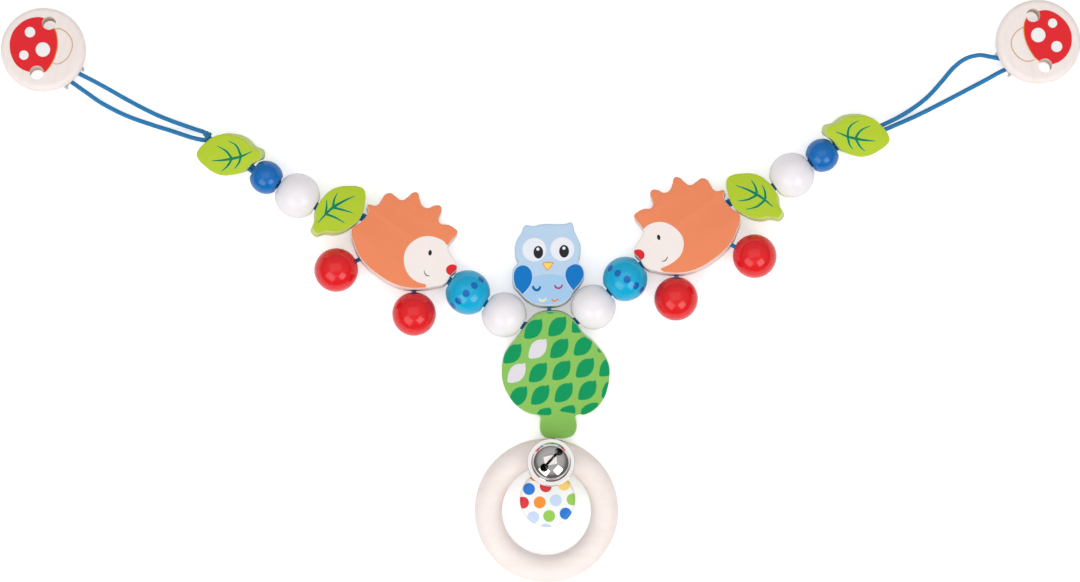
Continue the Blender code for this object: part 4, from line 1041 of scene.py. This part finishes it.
def tree_frame():
    """The tree's place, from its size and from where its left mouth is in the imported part."""
    flat = shift(z=RING_TUBE / 2) @ turn(math.degrees(TREE_TILT), "X") @ shift(y=TRUNK_DROP)
    mouth = flat @ TREE_MOUTHS[0].to_3d()
    packed = spot("left_inner_white_bead_bend")
    return shift(packed.x - mouth.x, packed.y - mouth.y) @ flat


def stamped(stamps):
    return [drawn_run([(px + x, py + y) for x, y in LEAF_STAMP]) for px, py in stamps]


def add_tree(place):
    outline = [(u * TREE_WIDTH, v * TREE_HEIGHT) for u, v in TREE_SHARES]
    left, right = [mouth.to_3d() for mouth in TREE_MOUTHS]
    across = right - left
    bores = [
        (rod(BORE / 2, across.length + 4 * MM), pointed((left + right) / 2, across)),
        (rod(LEG_BORE / 2, length=5 * MM), shift(OWL_SHIFT, TREE_TOP - 0.5 * MM) @ ALONG_Y),
        (rod(LEG_BORE / 2, length=14 * MM), shift(y=-TRUNK_DROP + 5 * MM) @ ALONG_Y),
    ]
    coats = ["tree_green_paint", "tree_wall_paint"]
    printer = add_figure("tree", outline, coats, place, bores, TREE_MARGIN)[1]
    # A short dark-green dash at the middle of the tree's top edge, printed with the leaves
    top_dash = oval((550.4, 312.9), 3.6, 0.8)
    printer.print("leaves", "tree_leaf_ink", stamped(GREEN_STAMPS) + CUT_STAMPS + [top_dash])
    printer.print("pale_leaves", "pale_leaf_ink", stamped(WHITE_STAMPS))


# The owl

OWL_HEIGHT = 41.4 * MM
OWL_WIDTH = 35.4 * MM
OWL_GAP = 1.6 * MM
OWL_SHARES = (
    (0.0, 0.0), (0.15, 0.016), (0.275, 0.085), (0.345, 0.175), (0.44, 0.275), (0.485, 0.365),
    (0.46, 0.455), (0.405, 0.52), (0.43, 0.61), (0.436, 0.71), (0.40, 0.80), (0.352, 0.895),
    (0.335, 0.965), (0.298, 1.0), (0.235, 0.983), (0.11, 0.976), (-0.02, 0.98), (-0.14, 0.97),
    (-0.21, 0.953), (-0.285, 0.963), (-0.345, 0.955), (-0.385, 0.875), (-0.445, 0.79),
    (-0.477, 0.70), (-0.467, 0.60), (-0.435, 0.515), (-0.495, 0.44), (-0.513, 0.345),
    (-0.49, 0.24), (-0.42, 0.17), (-0.34, 0.095), (-0.20, 0.022),
)
OWL_WINGS = [
    [(522.5, 265.4), (527.5, 266.8), (531, 271), (532.2, 277.5), (530.6, 284), (526.6, 290), (521.8, 294.2),
     (518.6, 292), (515.4, 286), (513.8, 279), (514.2, 272.5), (517.2, 267.6)],
    [(575.2, 264.2), (580.8, 266.4), (583.8, 271.5), (584.2, 279), (582, 286), (578.2, 292), (574, 290.6),
     (569.2, 285), (566, 278.6), (565.7, 272.4), (568.6, 267.2)],
]
OWL_BELLY = [(531, 279), (538, 275.6), (548, 274.2), (558, 275), (566, 278.5), (574, 288), (590, 292),
             (585, 312), (512, 312), (510, 292), (523, 292)]
OWL_BEAK = [(543, 262.6), (548, 261.9), (552.8, 262.4), (552.6, 264.6), (548.4, 270.2), (547.2, 270.2),
            (543, 264.8)]
OWL_MARGIN = 0.5 * MM
OWL_STEM_RISES = (0.2, 1.0, 2.5, 5.0, 7.5)  # of the cord in the owl, in mm over its foot
TOP_CORD_DROPS = (2.6 * MM, 0.4 * MM)       # of the top cord's start below the tree's top
TOP_CORD_RISE = 1.2 * MM                    # of its end over the owl's foot
TOP_CORD_STEP = 0.4 * MM
OWL_WING_LOOPS = [drawn_run(wing) for wing in OWL_WINGS]
OWL_PRINTS = (                  # print, coat, loops, layer
    ("belly", "soft_blue_ink", [drawn_run(OWL_BELLY)], 1),
    ("wing_halo", "sky_ink", [grown(wing, 1.1) for wing in OWL_WING_LOOPS], 2),
    ("wings", "wing_blue_ink", OWL_WING_LOOPS, 3),
    ("eyes", "white_ink", [oval((534.4, 249.7), 12.0, 11.8), oval((562.3, 249.1), 12.0, 11.9)], 2),
    ("pupils", "black_ink", [oval((538.3, 252.3), 4.8, 6.3), oval((564.1, 251.3), 4.9, 6.3)], 3),
    ("eye_lights", "white_ink", [oval((537.9, 249.2), 1.6), oval((563.9, 248.2), 1.6)], 4),
    ("beak_edge", "orange_ink", [drawn_run(OWL_BEAK)], 2),
    ("beak", "yellow_ink", [drawn_run(grown(OWL_BEAK, -1.0))], 3),
    ("feather_teal", "teal_ink", [stroke([(532.6, 286), (534.2, 289), (536.6, 290.2), (539, 289.2),
                                          (540.4, 286.4)], [2.0, 2.6, 2.6, 2.6, 2.0])], 2),
    ("feather_pink", "magenta_ink", [stroke([(554.6, 285), (556, 287.4), (558.4, 288.3), (561, 287.2),
                                             (562.6, 284.7)], [1.3, 1.8, 1.8, 1.8, 1.3])], 2),
    ("feather_cream", "pale_yellow_ink", [stroke([(539, 298.6), (541, 300.6), (543.4, 300.8), (546.4, 298.4)],
                                                 [1.6, 2.2, 2.2, 1.6])], 2),
    ("feather_orange", "orange_ink", [stroke([(551.4, 298.8), (553, 300.6), (555.6, 300.8), (558.4, 298.6)],
                                             [1.2, 1.7, 1.7, 1.2])], 2),
)


def add_owl(tree_place):
    foot = spot("owl_turn")
    place = Matrix.Translation(foot) @ turn(-math.degrees(math.asin(-way("owl_turn").z)), "X")
    outline = [(u * OWL_WIDTH, v * OWL_HEIGHT + OWL_GAP / 2) for u, v in OWL_SHARES]
    bores = [(rod(LEG_BORE / 2, length=20 * MM), shift(y=4.0 * MM) @ ALONG_Y)]
    printer = add_figure("owl", outline, ["pale_blue_paint", "owl_wall_paint"], place, bores, OWL_MARGIN)[1]
    for row in OWL_PRINTS:
        printer.print(*row)
    stem = add_tubes("owl_stem_look", [[(0.0, y * MM, 0.0) for y in OWL_STEM_RISES]], place=place)
    finish_piece(stem, "owl_stem", "elastic_cord", "owl_cord")
    in_tree = [tree_place @ Vector((OWL_SHIFT, TREE_TOP - drop, 0.0)) for drop in TOP_CORD_DROPS]
    run = smooth_run(in_tree + [foot, place @ Vector((0.0, TOP_CORD_RISE, 0.0))], TOP_CORD_STEP)
    bridge = add_tubes("tree_top_cord_look", [run])
    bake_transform(bridge)
    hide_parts("tree_top_cord")


# The ring, the dotted disc and the bell

DISC_RADIUS = 13.5 * MM
DISC_THICKNESS = 9.5 * MM
DISC_ROUNDING = 2.2 * MM
DISC_DOTS = (
    ("blue", 529.0, 489.0), ("red", 545.8, 486.3), ("yellow", 564.0, 484.6), ("orange", 535.2, 475.2),
    ("red", 523.0, 502.7), ("orange", 539.7, 502.4), ("sky", 555.8, 500.4), ("green", 572.6, 499.4),
    ("sky", 533.1, 517.4), ("green", 549.2, 516.0), ("blue", 565.6, 513.6), ("sky", 546.0, 529.5),
    ("green", 553.5, 472.5), ("blue", 571.0, 470.5), ("orange", 580.0, 482.0),
)
DOT_COLOURS = {"blue": (16, 118, 210), "red": (222, 36, 52), "yellow": (252, 214, 110),
               "orange": (246, 144, 28), "green": (150, 204, 84), "sky": (198, 216, 244)}
DISC_DOT_RADIUS = 2.9 * MM
DISC_DROP = 2.6 * MM            # of the disc's top below the ring's bar
RING_TURN = -5.2                # degrees that the ring hangs round from straight down
RING_RISE = 0.3 * MM            # of the joint above the bar
TRUNK_CORD_RISES = (10 * MM, 0.0)           # of its start over the trunk's end
TRUNK_CORD_DROPS = (1.5 * MM, 7 * MM)       # of its end below the joint
TRUNK_CORD_STEP = 0.6 * MM
RING_CORD_DROPS = (7.0, 10.0, 13.0, 16.0, 19.0, 22.0, 24.5)     # of the cord through the ring, in mm


def dotted_coat(place):
    """White lacquer printed with round dots that run over the rounded rim."""
    shader = lacquer("dotted_lacquer", linear(247, 249, 244), 0.3)
    split = shader.split(shader.coords())
    flat = shader.node("ShaderNodeCombineXYZ", X=split["X"], Y=split["Y"])
    shown = shader.shown()
    for colour, px, py in DISC_DOTS:
        middle = pixel_on(place, DISC_THICKNESS / 2, px, py)
        apart = shader.node("ShaderNodeVectorMath")
        apart.operation = "DISTANCE"
        shader.feed(apart.inputs[0], flat.outputs["Vector"])
        shader.feed(apart.inputs[1], (middle.x, middle.y, 0.0))
        within = shader.math("LESS_THAN", apart.outputs["Value"], DISC_DOT_RADIUS)
        shown = shader.mix(within, shown, linear(*DOT_COLOURS[colour]))
    shader.set(Base_Color=shown)


def disc_profile(radius, thickness, rounding, steps):
    side, level = radius - rounding, thickness / 2 - rounding
    return ([(0.0, thickness / 2)] + arc((side, level), rounding, 90, 0, steps)
            + arc((side, -level), rounding, 0, -90, steps) + [(0.0, -thickness / 2)])


def add_ring(tree_place):
    pivot = spot("ring_lift")
    hanging = Matrix.Translation(pivot) @ turn(RING_TURN, "Z")
    ring_top = hanging @ shift(y=-RING_RISE)
    ring_place = ring_top @ shift(y=-RING_DIAMETER / 2)
    middle = (RING_DIAMETER - RING_TUBE) / 2
    bar = arc((middle, 0.0), RING_TUBE / 2, 180, -180, steps=40)[:-1]
    mesh = revolve("ring", bar, steps=144, closed=True)
    ring = new_object("grasping_ring_look", mesh, ["natural_wood"], ring_place)
    cut_through(ring, [(rod(LEG_BORE / 2, RING_TUBE + 6 * MM), shift(y=middle) @ ALONG_Y)])
    finish_piece(ring, "ring", "natural_wood", "grasping_ring")
    disc_place = ring_top @ shift(y=-RING_TUBE - DISC_DROP) @ shift(y=-DISC_RADIUS)
    dotted_coat(disc_place)
    mesh = revolve("disc", disc_profile(DISC_RADIUS, DISC_THICKNESS, DISC_ROUNDING, 10), steps=96)
    disc = new_object("dotted_disc_look", mesh, ["dotted_lacquer"], disc_place)
    cut_through(disc, [(rod(LEG_BORE / 2, length=12 * MM), shift(y=DISC_RADIUS - 4 * MM) @ ALONG_Y)])
    finish_piece(disc, "dotted_disc", "white_lacquer", "dotted_disc")
    # The cord down the trunk, through the ring and into the disc
    in_trunk = [tree_place @ Vector((0.0, -TRUNK_DROP + rise, 0.0)) for rise in TRUNK_CORD_RISES]
    in_ring = [hanging @ Vector((0.0, -drop, 0.0)) for drop in TRUNK_CORD_DROPS]
    bridge = add_tubes("trunk_cord_look", [smooth_run(in_trunk + in_ring, TRUNK_CORD_STEP)])
    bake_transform(bridge)
    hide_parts("trunk_cord")
    reach = [(0.0, -y * MM, 0.0) for y in RING_CORD_DROPS]
    finish_piece(add_tubes("ring_cord_look", [reach], place=hanging), "ring", "elastic_cord", "ring_cord")
    add_bell(ring_place)


BELL_RADIUS = 10.2 * MM
BELL_WALL = 0.6 * MM
BELL_FLANGE = 11.65 * MM
BELL_LIP = 0.7 * MM
BELL_SEAM = 0.15 * MM           # half the gap between the halves
BELL_SIDE = 8.9 * MM            # radius where the flattened top turns down
BELL_LOWER_SIDE = 9.8 * MM
BELL_SHOULDER = 46              # degrees the top has leant over there
BELL_BEND = 0.8 * MM            # radius of the shoulder's bend
BELL_INSET = 4.2 * MM           # of the bell's middle from the bar's, toward the ring's middle
BELL_CLEARANCE = 0.3 * MM       # over the bar
BELL_TILT = -11.5
BELL_CREASE = 30                # degrees from which an edge is sharp
SLOT_TURN = 53
SLOT_REACH = 5.2 * MM           # from the crown to each end's hole
SLOT_WIDTH = 1.3 * MM
SLOT_HOLE = 1.95 * MM
TOOL_HEIGHT = 12 * MM
EYE_WIRE = 0.5 * MM             # radius of the wire under the bell
EYE_BEND = 2.0 * MM
EYE_ROOT = -9.6 * MM


def bell_half_mesh(name, side):
    """Half a bell turned about Z: a flattened crown on a steep side, with a rolled flange."""
    rim = BELL_SEAM + BELL_LIP
    lip = BELL_LIP / 2
    lean = math.radians(BELL_SHOULDER)
    sphere = (side - BELL_BEND * (1 - math.sin(lean))) / math.sin(lean)
    middle = BELL_RADIUS - sphere
    level = middle + (sphere - BELL_BEND) * math.cos(lean)
    profile = [(0.0, BELL_RADIUS)] + arc((0.0, middle), sphere, 89, 90 - BELL_SHOULDER, steps=24)
    profile += arc((side - BELL_BEND, level), BELL_BEND, 84 - BELL_SHOULDER, 2, steps=8)
    profile += [(side + 0.05 * MM, (level + rim) / 2), (side + 0.25 * MM, rim + 0.3 * MM)]
    profile.append((side + 0.6 * MM, rim))
    profile += arc((BELL_FLANGE - lip, BELL_SEAM + lip), lip, 90, -90, steps=8)
    profile += [(side - BELL_WALL, BELL_SEAM), (side - BELL_WALL, level)]
    profile += arc((0.0, middle), sphere - BELL_WALL, 90 - BELL_SHOULDER, 89, steps=16)
    return revolve(name, profile + [(0.0, BELL_RADIUS - BELL_WALL)], steps=96)


def slit_mesh():
    """The tool that cuts the slot between its end holes."""
    mesh = bpy.data.meshes.new("slit")
    work = bmesh.new()
    size = Matrix.Diagonal((2 * SLOT_REACH, SLOT_WIDTH, TOOL_HEIGHT, 1.0))
    bmesh.ops.create_cube(work, size=1.0, matrix=shift(z=BELL_RADIUS) @ size)
    work.to_mesh(mesh)
    work.free()
    return mesh


def add_bell(ring_place):
    crest = (RING_DIAMETER - RING_TUBE) / 2
    spacing = BELL_RADIUS + RING_TUBE / 2 + BELL_CLEARANCE
    rise = math.sqrt(spacing ** 2 - BELL_INSET ** 2)
    place = ring_place @ shift(0.0, crest - BELL_INSET, rise) @ turn(BELL_TILT, "X")
    slot_turn = turn(SLOT_TURN, "Z")
    mesh = bell_half_mesh("bell_top", BELL_SIDE)
    top = new_object("bell_top_look", mesh, ["polished_chrome", "bell_inside_shade"], place)
    holes = [(rod(SLOT_HOLE, TOOL_HEIGHT), slot_turn @ shift(x, 0.0, BELL_RADIUS))
             for x in (SLOT_REACH, -SLOT_REACH)]
    cut_through(top, holes + [(slit_mesh(), slot_turn)], BELL_CREASE)
    # The inner faces take the near-black metal, painted shade inside the bell
    for face in top.data.polygons:
        face.material_index = 1 if face.normal.dot(-face.center.normalized()) > 0.5 else 0
    finish_piece(top, "bell", "bell_chrome", "bell_top")
    lower = bell_half_mesh("bell_bottom", BELL_LOWER_SIDE)
    lower.transform(turn(180, "X"))
    drop = rise / math.cos(math.radians(BELL_TILT))
    staple = [(EYE_BEND, EYE_ROOT)] + arc((0.0, -drop), EYE_BEND, 0, -180, steps=16) + [(-EYE_BEND, EYE_ROOT)]
    eye = tube_mesh("eye", [(x, 0.0, z) for x, z in staple], EYE_WIRE)
    mesh = join_meshes("bell_bottom", [lower, eye])
    bottom = new_object("bell_bottom_look", mesh, ["polished_chrome"], place)
    smooth(bottom.data, BELL_CREASE)
    finish_piece(bottom, "bell", "bell_chrome", "bell_bottom")


# The clips

CLIP_RADIUS = 20.5 * MM
CLIP_THICKNESS = 8.0 * MM
CLIP_ROUNDING = 2.4 * MM
VENT_RADIUS = 3.3 * MM
VENT_REACH = 12.7 * MM
VENT_MARGIN = 0.1 * MM          # of the prints from a vent
CLIP_EDGE = 0.2 * MM            # radius of the rounded edges of a clip's metal and pad
CLIP_CREASE = 35                # degrees from which its edges are rounded
CLOSE = 0.05 * MM               # how near a face lies to a vent's wall to be part of it
EYE_TO_DISC = 18.3 * MM
DISC_RISE = 7.6 * MM
CLIP_HEADINGS = {"left": 38.0, "right": 30.0}
LADYBIRDS = {
    "left": {
        "body": [(40.7, 17.3), (34.3, 17.4), (27.1, 19.3), (21.4, 22.6), (15.7, 27.9), (12.1, 33.6),
                 (10, 40.7), (9.7, 46.4), (10.7, 53.6), (13.6, 60.7), (17.9, 66.4), (23.6, 70),
                 (29.3, 71.9), (37, 73.5), (45, 72.1), (49.3, 67.9), (52.1, 62.9), (55, 56.4), (57.1, 48.6),
                 (57.6, 41.4), (55.9, 32.9), (53.4, 26.8), (48, 20)],
        "dots": [((30, 32.2), 5.2), ((42.9, 49.6), 7.2), ((23.9, 55.2), 4.7)],
        "head": [(54.8, 29.2), (60, 28.8), (66.5, 32.6), (71, 38.5), (72.4, 44.8), (71, 51.5), (67, 58.5),
                 (61, 62.9), (57, 64), (53.4, 63.3)],
        "collar": [(53, 26.5), (56.2, 33), (57.5, 42), (56.8, 50), (54, 59), (49.8, 66.6), (45.6, 71.6)],
    },
    "right": {
        "body": [(1041, 10.6), (1048, 10.4), (1055.5, 13.2), (1061.5, 17.5), (1066.8, 23.2), (1070.3, 30),
                 (1071.8, 37.5), (1071, 46), (1067.8, 53.5), (1062.5, 59.4), (1056, 63.2), (1047, 64.6),
                 (1040, 61.5), (1035, 58), (1030, 50.5), (1026, 42), (1024, 33), (1024, 25), (1026, 18.5),
                 (1032, 13)],
        "dots": [((1052.6, 23.2), 4.6), ((1038.2, 35.1), 7.2), ((1056.7, 46.6), 5.5)],
        "head": [(1026.2, 26.4), (1020.5, 28.6), (1014.8, 33.6), (1011.6, 40), (1011.6, 46.5), (1014.6, 53),
                 (1020.5, 58.8), (1027.7, 61.4), (1034.7, 59.8)],
        "collar": [(1027, 16.5), (1024.2, 24), (1024.1, 33), (1026.2, 42), (1030.2, 50.5), (1035, 57.6),
                   (1039.5, 61.2)],
    },
}
CLIP_LEAN = math.atan(0.8 / 32.5)           # of the frame from the line between its joints
DISC_BEARING = 102.0            # of the vents from the clip's heading
LADYBIRD_PRINTS = (             # print, coat, widths of a line or None for a filled loop, layer
    ("head", "tan_ink", [1.0, 1.0], 1),
    ("body", "red_ink", None, 2),
    ("collar", "orange_ink", [0.8, 1.0, 0.8], 3),
)


def clip_frame(side_name):
    fold = spot(f"{side_name}_clip_fold")
    across = way(f"{side_name}_clip_fold")
    along = (spot(f"{side_name}_clip_open") - fold).normalized()
    rise = along.cross(across)
    cosine, sine = math.cos(CLIP_LEAN), math.sin(CLIP_LEAN)
    return based(fold, along * cosine - rise * sine, across, along * sine + rise * cosine)


def add_clip(side_name, side):
    """A clip's wooden cover with its ladybird; the rest of the clip is shown as the CAD has it."""
    bearing = side * (DISC_BEARING - CLIP_HEADINGS[side_name])
    place = clip_frame(side_name) @ shift(EYE_TO_DISC, 0.0, DISC_RISE) @ turn(bearing, "Z")
    name = f"{side_name}_clip_disc"
    body = f"{side_name}_clip_cover"
    mesh = revolve(name, disc_profile(CLIP_RADIUS, CLIP_THICKNESS, CLIP_ROUNDING, 12), steps=128)
    disc = new_object(f"{name}_look", mesh, ["natural_wood", "wood_end_grain"], place)
    vents = [Vector((end * VENT_REACH, 0.0)) for end in (1, -1)]
    tool = (VENT_RADIUS, CLIP_THICKNESS + 4 * MM, 48)
    cut_through(disc, [(rod(*tool), shift(vent.x)) for vent in vents])
    for face in disc.data.polygons:
        near = min((Vector(face.center[:2]) - vent).length for vent in vents)
        face.material_index = 1 if near < VENT_RADIUS + CLOSE and abs(face.normal.z) < FACING else 0
    finish_piece(disc, body, "natural_wood", name)
    rim = oval((0.0, 0.0), CLIP_RADIUS - CLIP_ROUNDING, steps=96)
    printer = Printer(f"{side_name}_ladybird", place, CLIP_THICKNESS / 2, body, "natural_wood", [rim],
                      [oval(vent, VENT_RADIUS + VENT_MARGIN) for vent in vents])
    figure = LADYBIRDS[side_name]
    for part, coat, widths, layer in LADYBIRD_PRINTS:
        loop = stroke(figure[part], widths) if widths else drawn_run(figure[part])
        printer.print(part, coat, [loop], layer)
    printer.print("dots", "dot_white_ink", [oval(centre, radius) for centre, radius in figure["dots"]], 3)


def dress_cad():
    """Rounds and repaints the CAD pieces that are shown as they are."""
    finishes = {"clip_frame": "nickel_steel", "clip_lever": "nickel_steel", "clip_pin": "nickel_steel",
                "clip_grip_pad": "grip_plastic"}
    for side_name, _ in SIDES:
        for part_name, coat in finishes.items():
            node = NODES[f"{side_name}_{part_name}"]
            node.data.materials.clear()
            node.data.materials.append(COATS[coat])
            soften = node.modifiers.new("soften", "BEVEL")
            soften.width = CLIP_EDGE
            soften.segments = 3
            soften.limit_method = "ANGLE"
            soften.angle_limit = math.radians(CLIP_CREASE)
            soften.harden_normals = True
    clapper = NODES["bell_clapper"]
    clapper.data.materials.clear()
    clapper.data.materials.append(COATS["nickel_steel"])
    finer = clapper.modifiers.new("finer", "SUBSURF")
    finer.levels = 2
    finer.render_levels = 2


# Lights and floor

LIGHTS = (                      # name, azimuth, elevation, distance, size, power
    ("left_softbox", -41, 43, 1.6, (1.2, 1.0), 7.6),
    ("right_softbox", 45, 43, 1.6, (0.9, 0.9), 7.2),
    ("top_soft", 190, 75, 2.5, (2.8, 2.0), 12.0),
)
FLOOR_HALF = 6.0
FLOOR_LEVEL = -0.05 * MM
FLOOR_COLOUR = (0.93, 0.93, 0.93, 1.0)
FLOOR_LIFT = 0.42               # of the floor's own light, toward the photograph's white
SKY_EVEN = (0.55, 0.55, 0.56, 1.0)
SKY_LEAN = 0.3                  # of the glossy band, toward the top of the view
SKY_STOPS = ((0.0, 0.16), (0.25, 0.14), (0.5, 0.42), (0.8, 0.52), (1.0, 0.42))


def area_light(name, azimuth, elevation, distance, size, power):
    data = bpy.data.lights.new(name, "AREA")
    data.shape = "RECTANGLE"
    data.size, data.size_y = size
    data.energy = power
    light = linked(name, data)
    a, e = math.radians(azimuth), math.radians(elevation)
    direction = Vector((math.sin(a) * math.cos(e), -math.cos(a) * math.cos(e), math.sin(e)))
    light.location = direction * distance
    light.rotation_euler = direction.to_track_quat("Z", "Y").to_euler()


def add_floor():
    corners = [(x * FLOOR_HALF, y * FLOOR_HALF, 0) for x, y in ((-1, -1), (1, -1), (1, 1), (-1, 1))]
    shader = Shader("floor_paper", FLOOR_COLOUR, 1.0)
    rays = shader.node("ShaderNodeLightPath").outputs
    seen = shader.math("MAXIMUM", rays["Is Camera Ray"], rays["Is Transmission Ray"])
    shader.set(Specular_IOR_Level=0.0, Emission_Color=(1.0, 1.0, 1.0, 1.0),
               Emission_Strength=shader.math("MULTIPLY", seen, FLOOR_LIFT))
    floor = new_object("floor", mesh_of("floor", corners, [(0, 1, 2, 3)]), ["floor_paper"])
    floor.location.z = FLOOR_LEVEL


def add_world():
    """Even light for the colours, with a dark band at the horizon and a bright top for glossy things."""
    world = bpy.data.worlds.new("studio")
    bpy.context.scene.world = world
    world.use_nodes = True
    sky = Nodes(world.node_tree)
    rays = sky.node("ShaderNodeLightPath").outputs
    split = sky.split(sky.node("ShaderNodeTexCoord").outputs["Generated"])
    ramp = sky.node("ShaderNodeValToRGB", Fac=sky.math("MULTIPLY_ADD", split["Y"], SKY_LEAN, split["Z"]))
    while len(ramp.color_ramp.elements) < len(SKY_STOPS):
        ramp.color_ramp.elements.new(0.5)
    for element, (position, value) in zip(ramp.color_ramp.elements, SKY_STOPS):
        element.position = position
        element.color = (value, value, value * 1.01, 1.0)
    background = world.node_tree.nodes["Background"]
    sky.feed(background.inputs["Color"], sky.mix(rays["Is Glossy Ray"], SKY_EVEN, ramp.outputs["Color"]))
    background.inputs["Strength"].default_value = 1.0


BEADS = (                       # piece, coat, slot, diameter
    ("inner_white_bead", "white_lacquer", "white_lacquer", WHITE_DIAMETER),
    ("spotted_bead", "{}_light_blue_lacquer", "light_blue_lacquer", SPOTTED_DIAMETER),
    ("outer_white_bead", "white_lacquer", "white_lacquer", WHITE_DIAMETER),
    ("small_blue_bead", "dark_blue_lacquer", "dark_blue_lacquer", BLUE_DIAMETER),
)


def build():
    add_coats()
    tree_place = tree_frame()
    add_tree(tree_place)
    add_owl(tree_place)
    add_ring(tree_place)
    middle = tree_place @ ((TREE_MOUTHS[0] + TREE_MOUTHS[1]) / 2).to_3d()
    for side_name, side in SIDES:
        place, length = add_arm_cords(side_name, middle)
        add_loop(side_name, side, place, length)
        for piece, coat, slot, diameter in BEADS:
            add_bead(f"{side_name}_{piece}", coat.format(side_name), slot, diameter)
        add_hedgehog(side_name, side)
        add_leaf(side_name, side, "inner_leaf")
        add_leaf(side_name, side, "outer_leaf")
        add_clip(side_name, side)
    dress_cad()
    add_floor()
    add_world()
    for light in LIGHTS:
        area_light(*light)
    settings = bpy.context.scene.view_settings
    settings.view_transform = "Standard"
    settings.look = "None"
    settings.exposure = 0.0
    settings.gamma = 1.0


build()
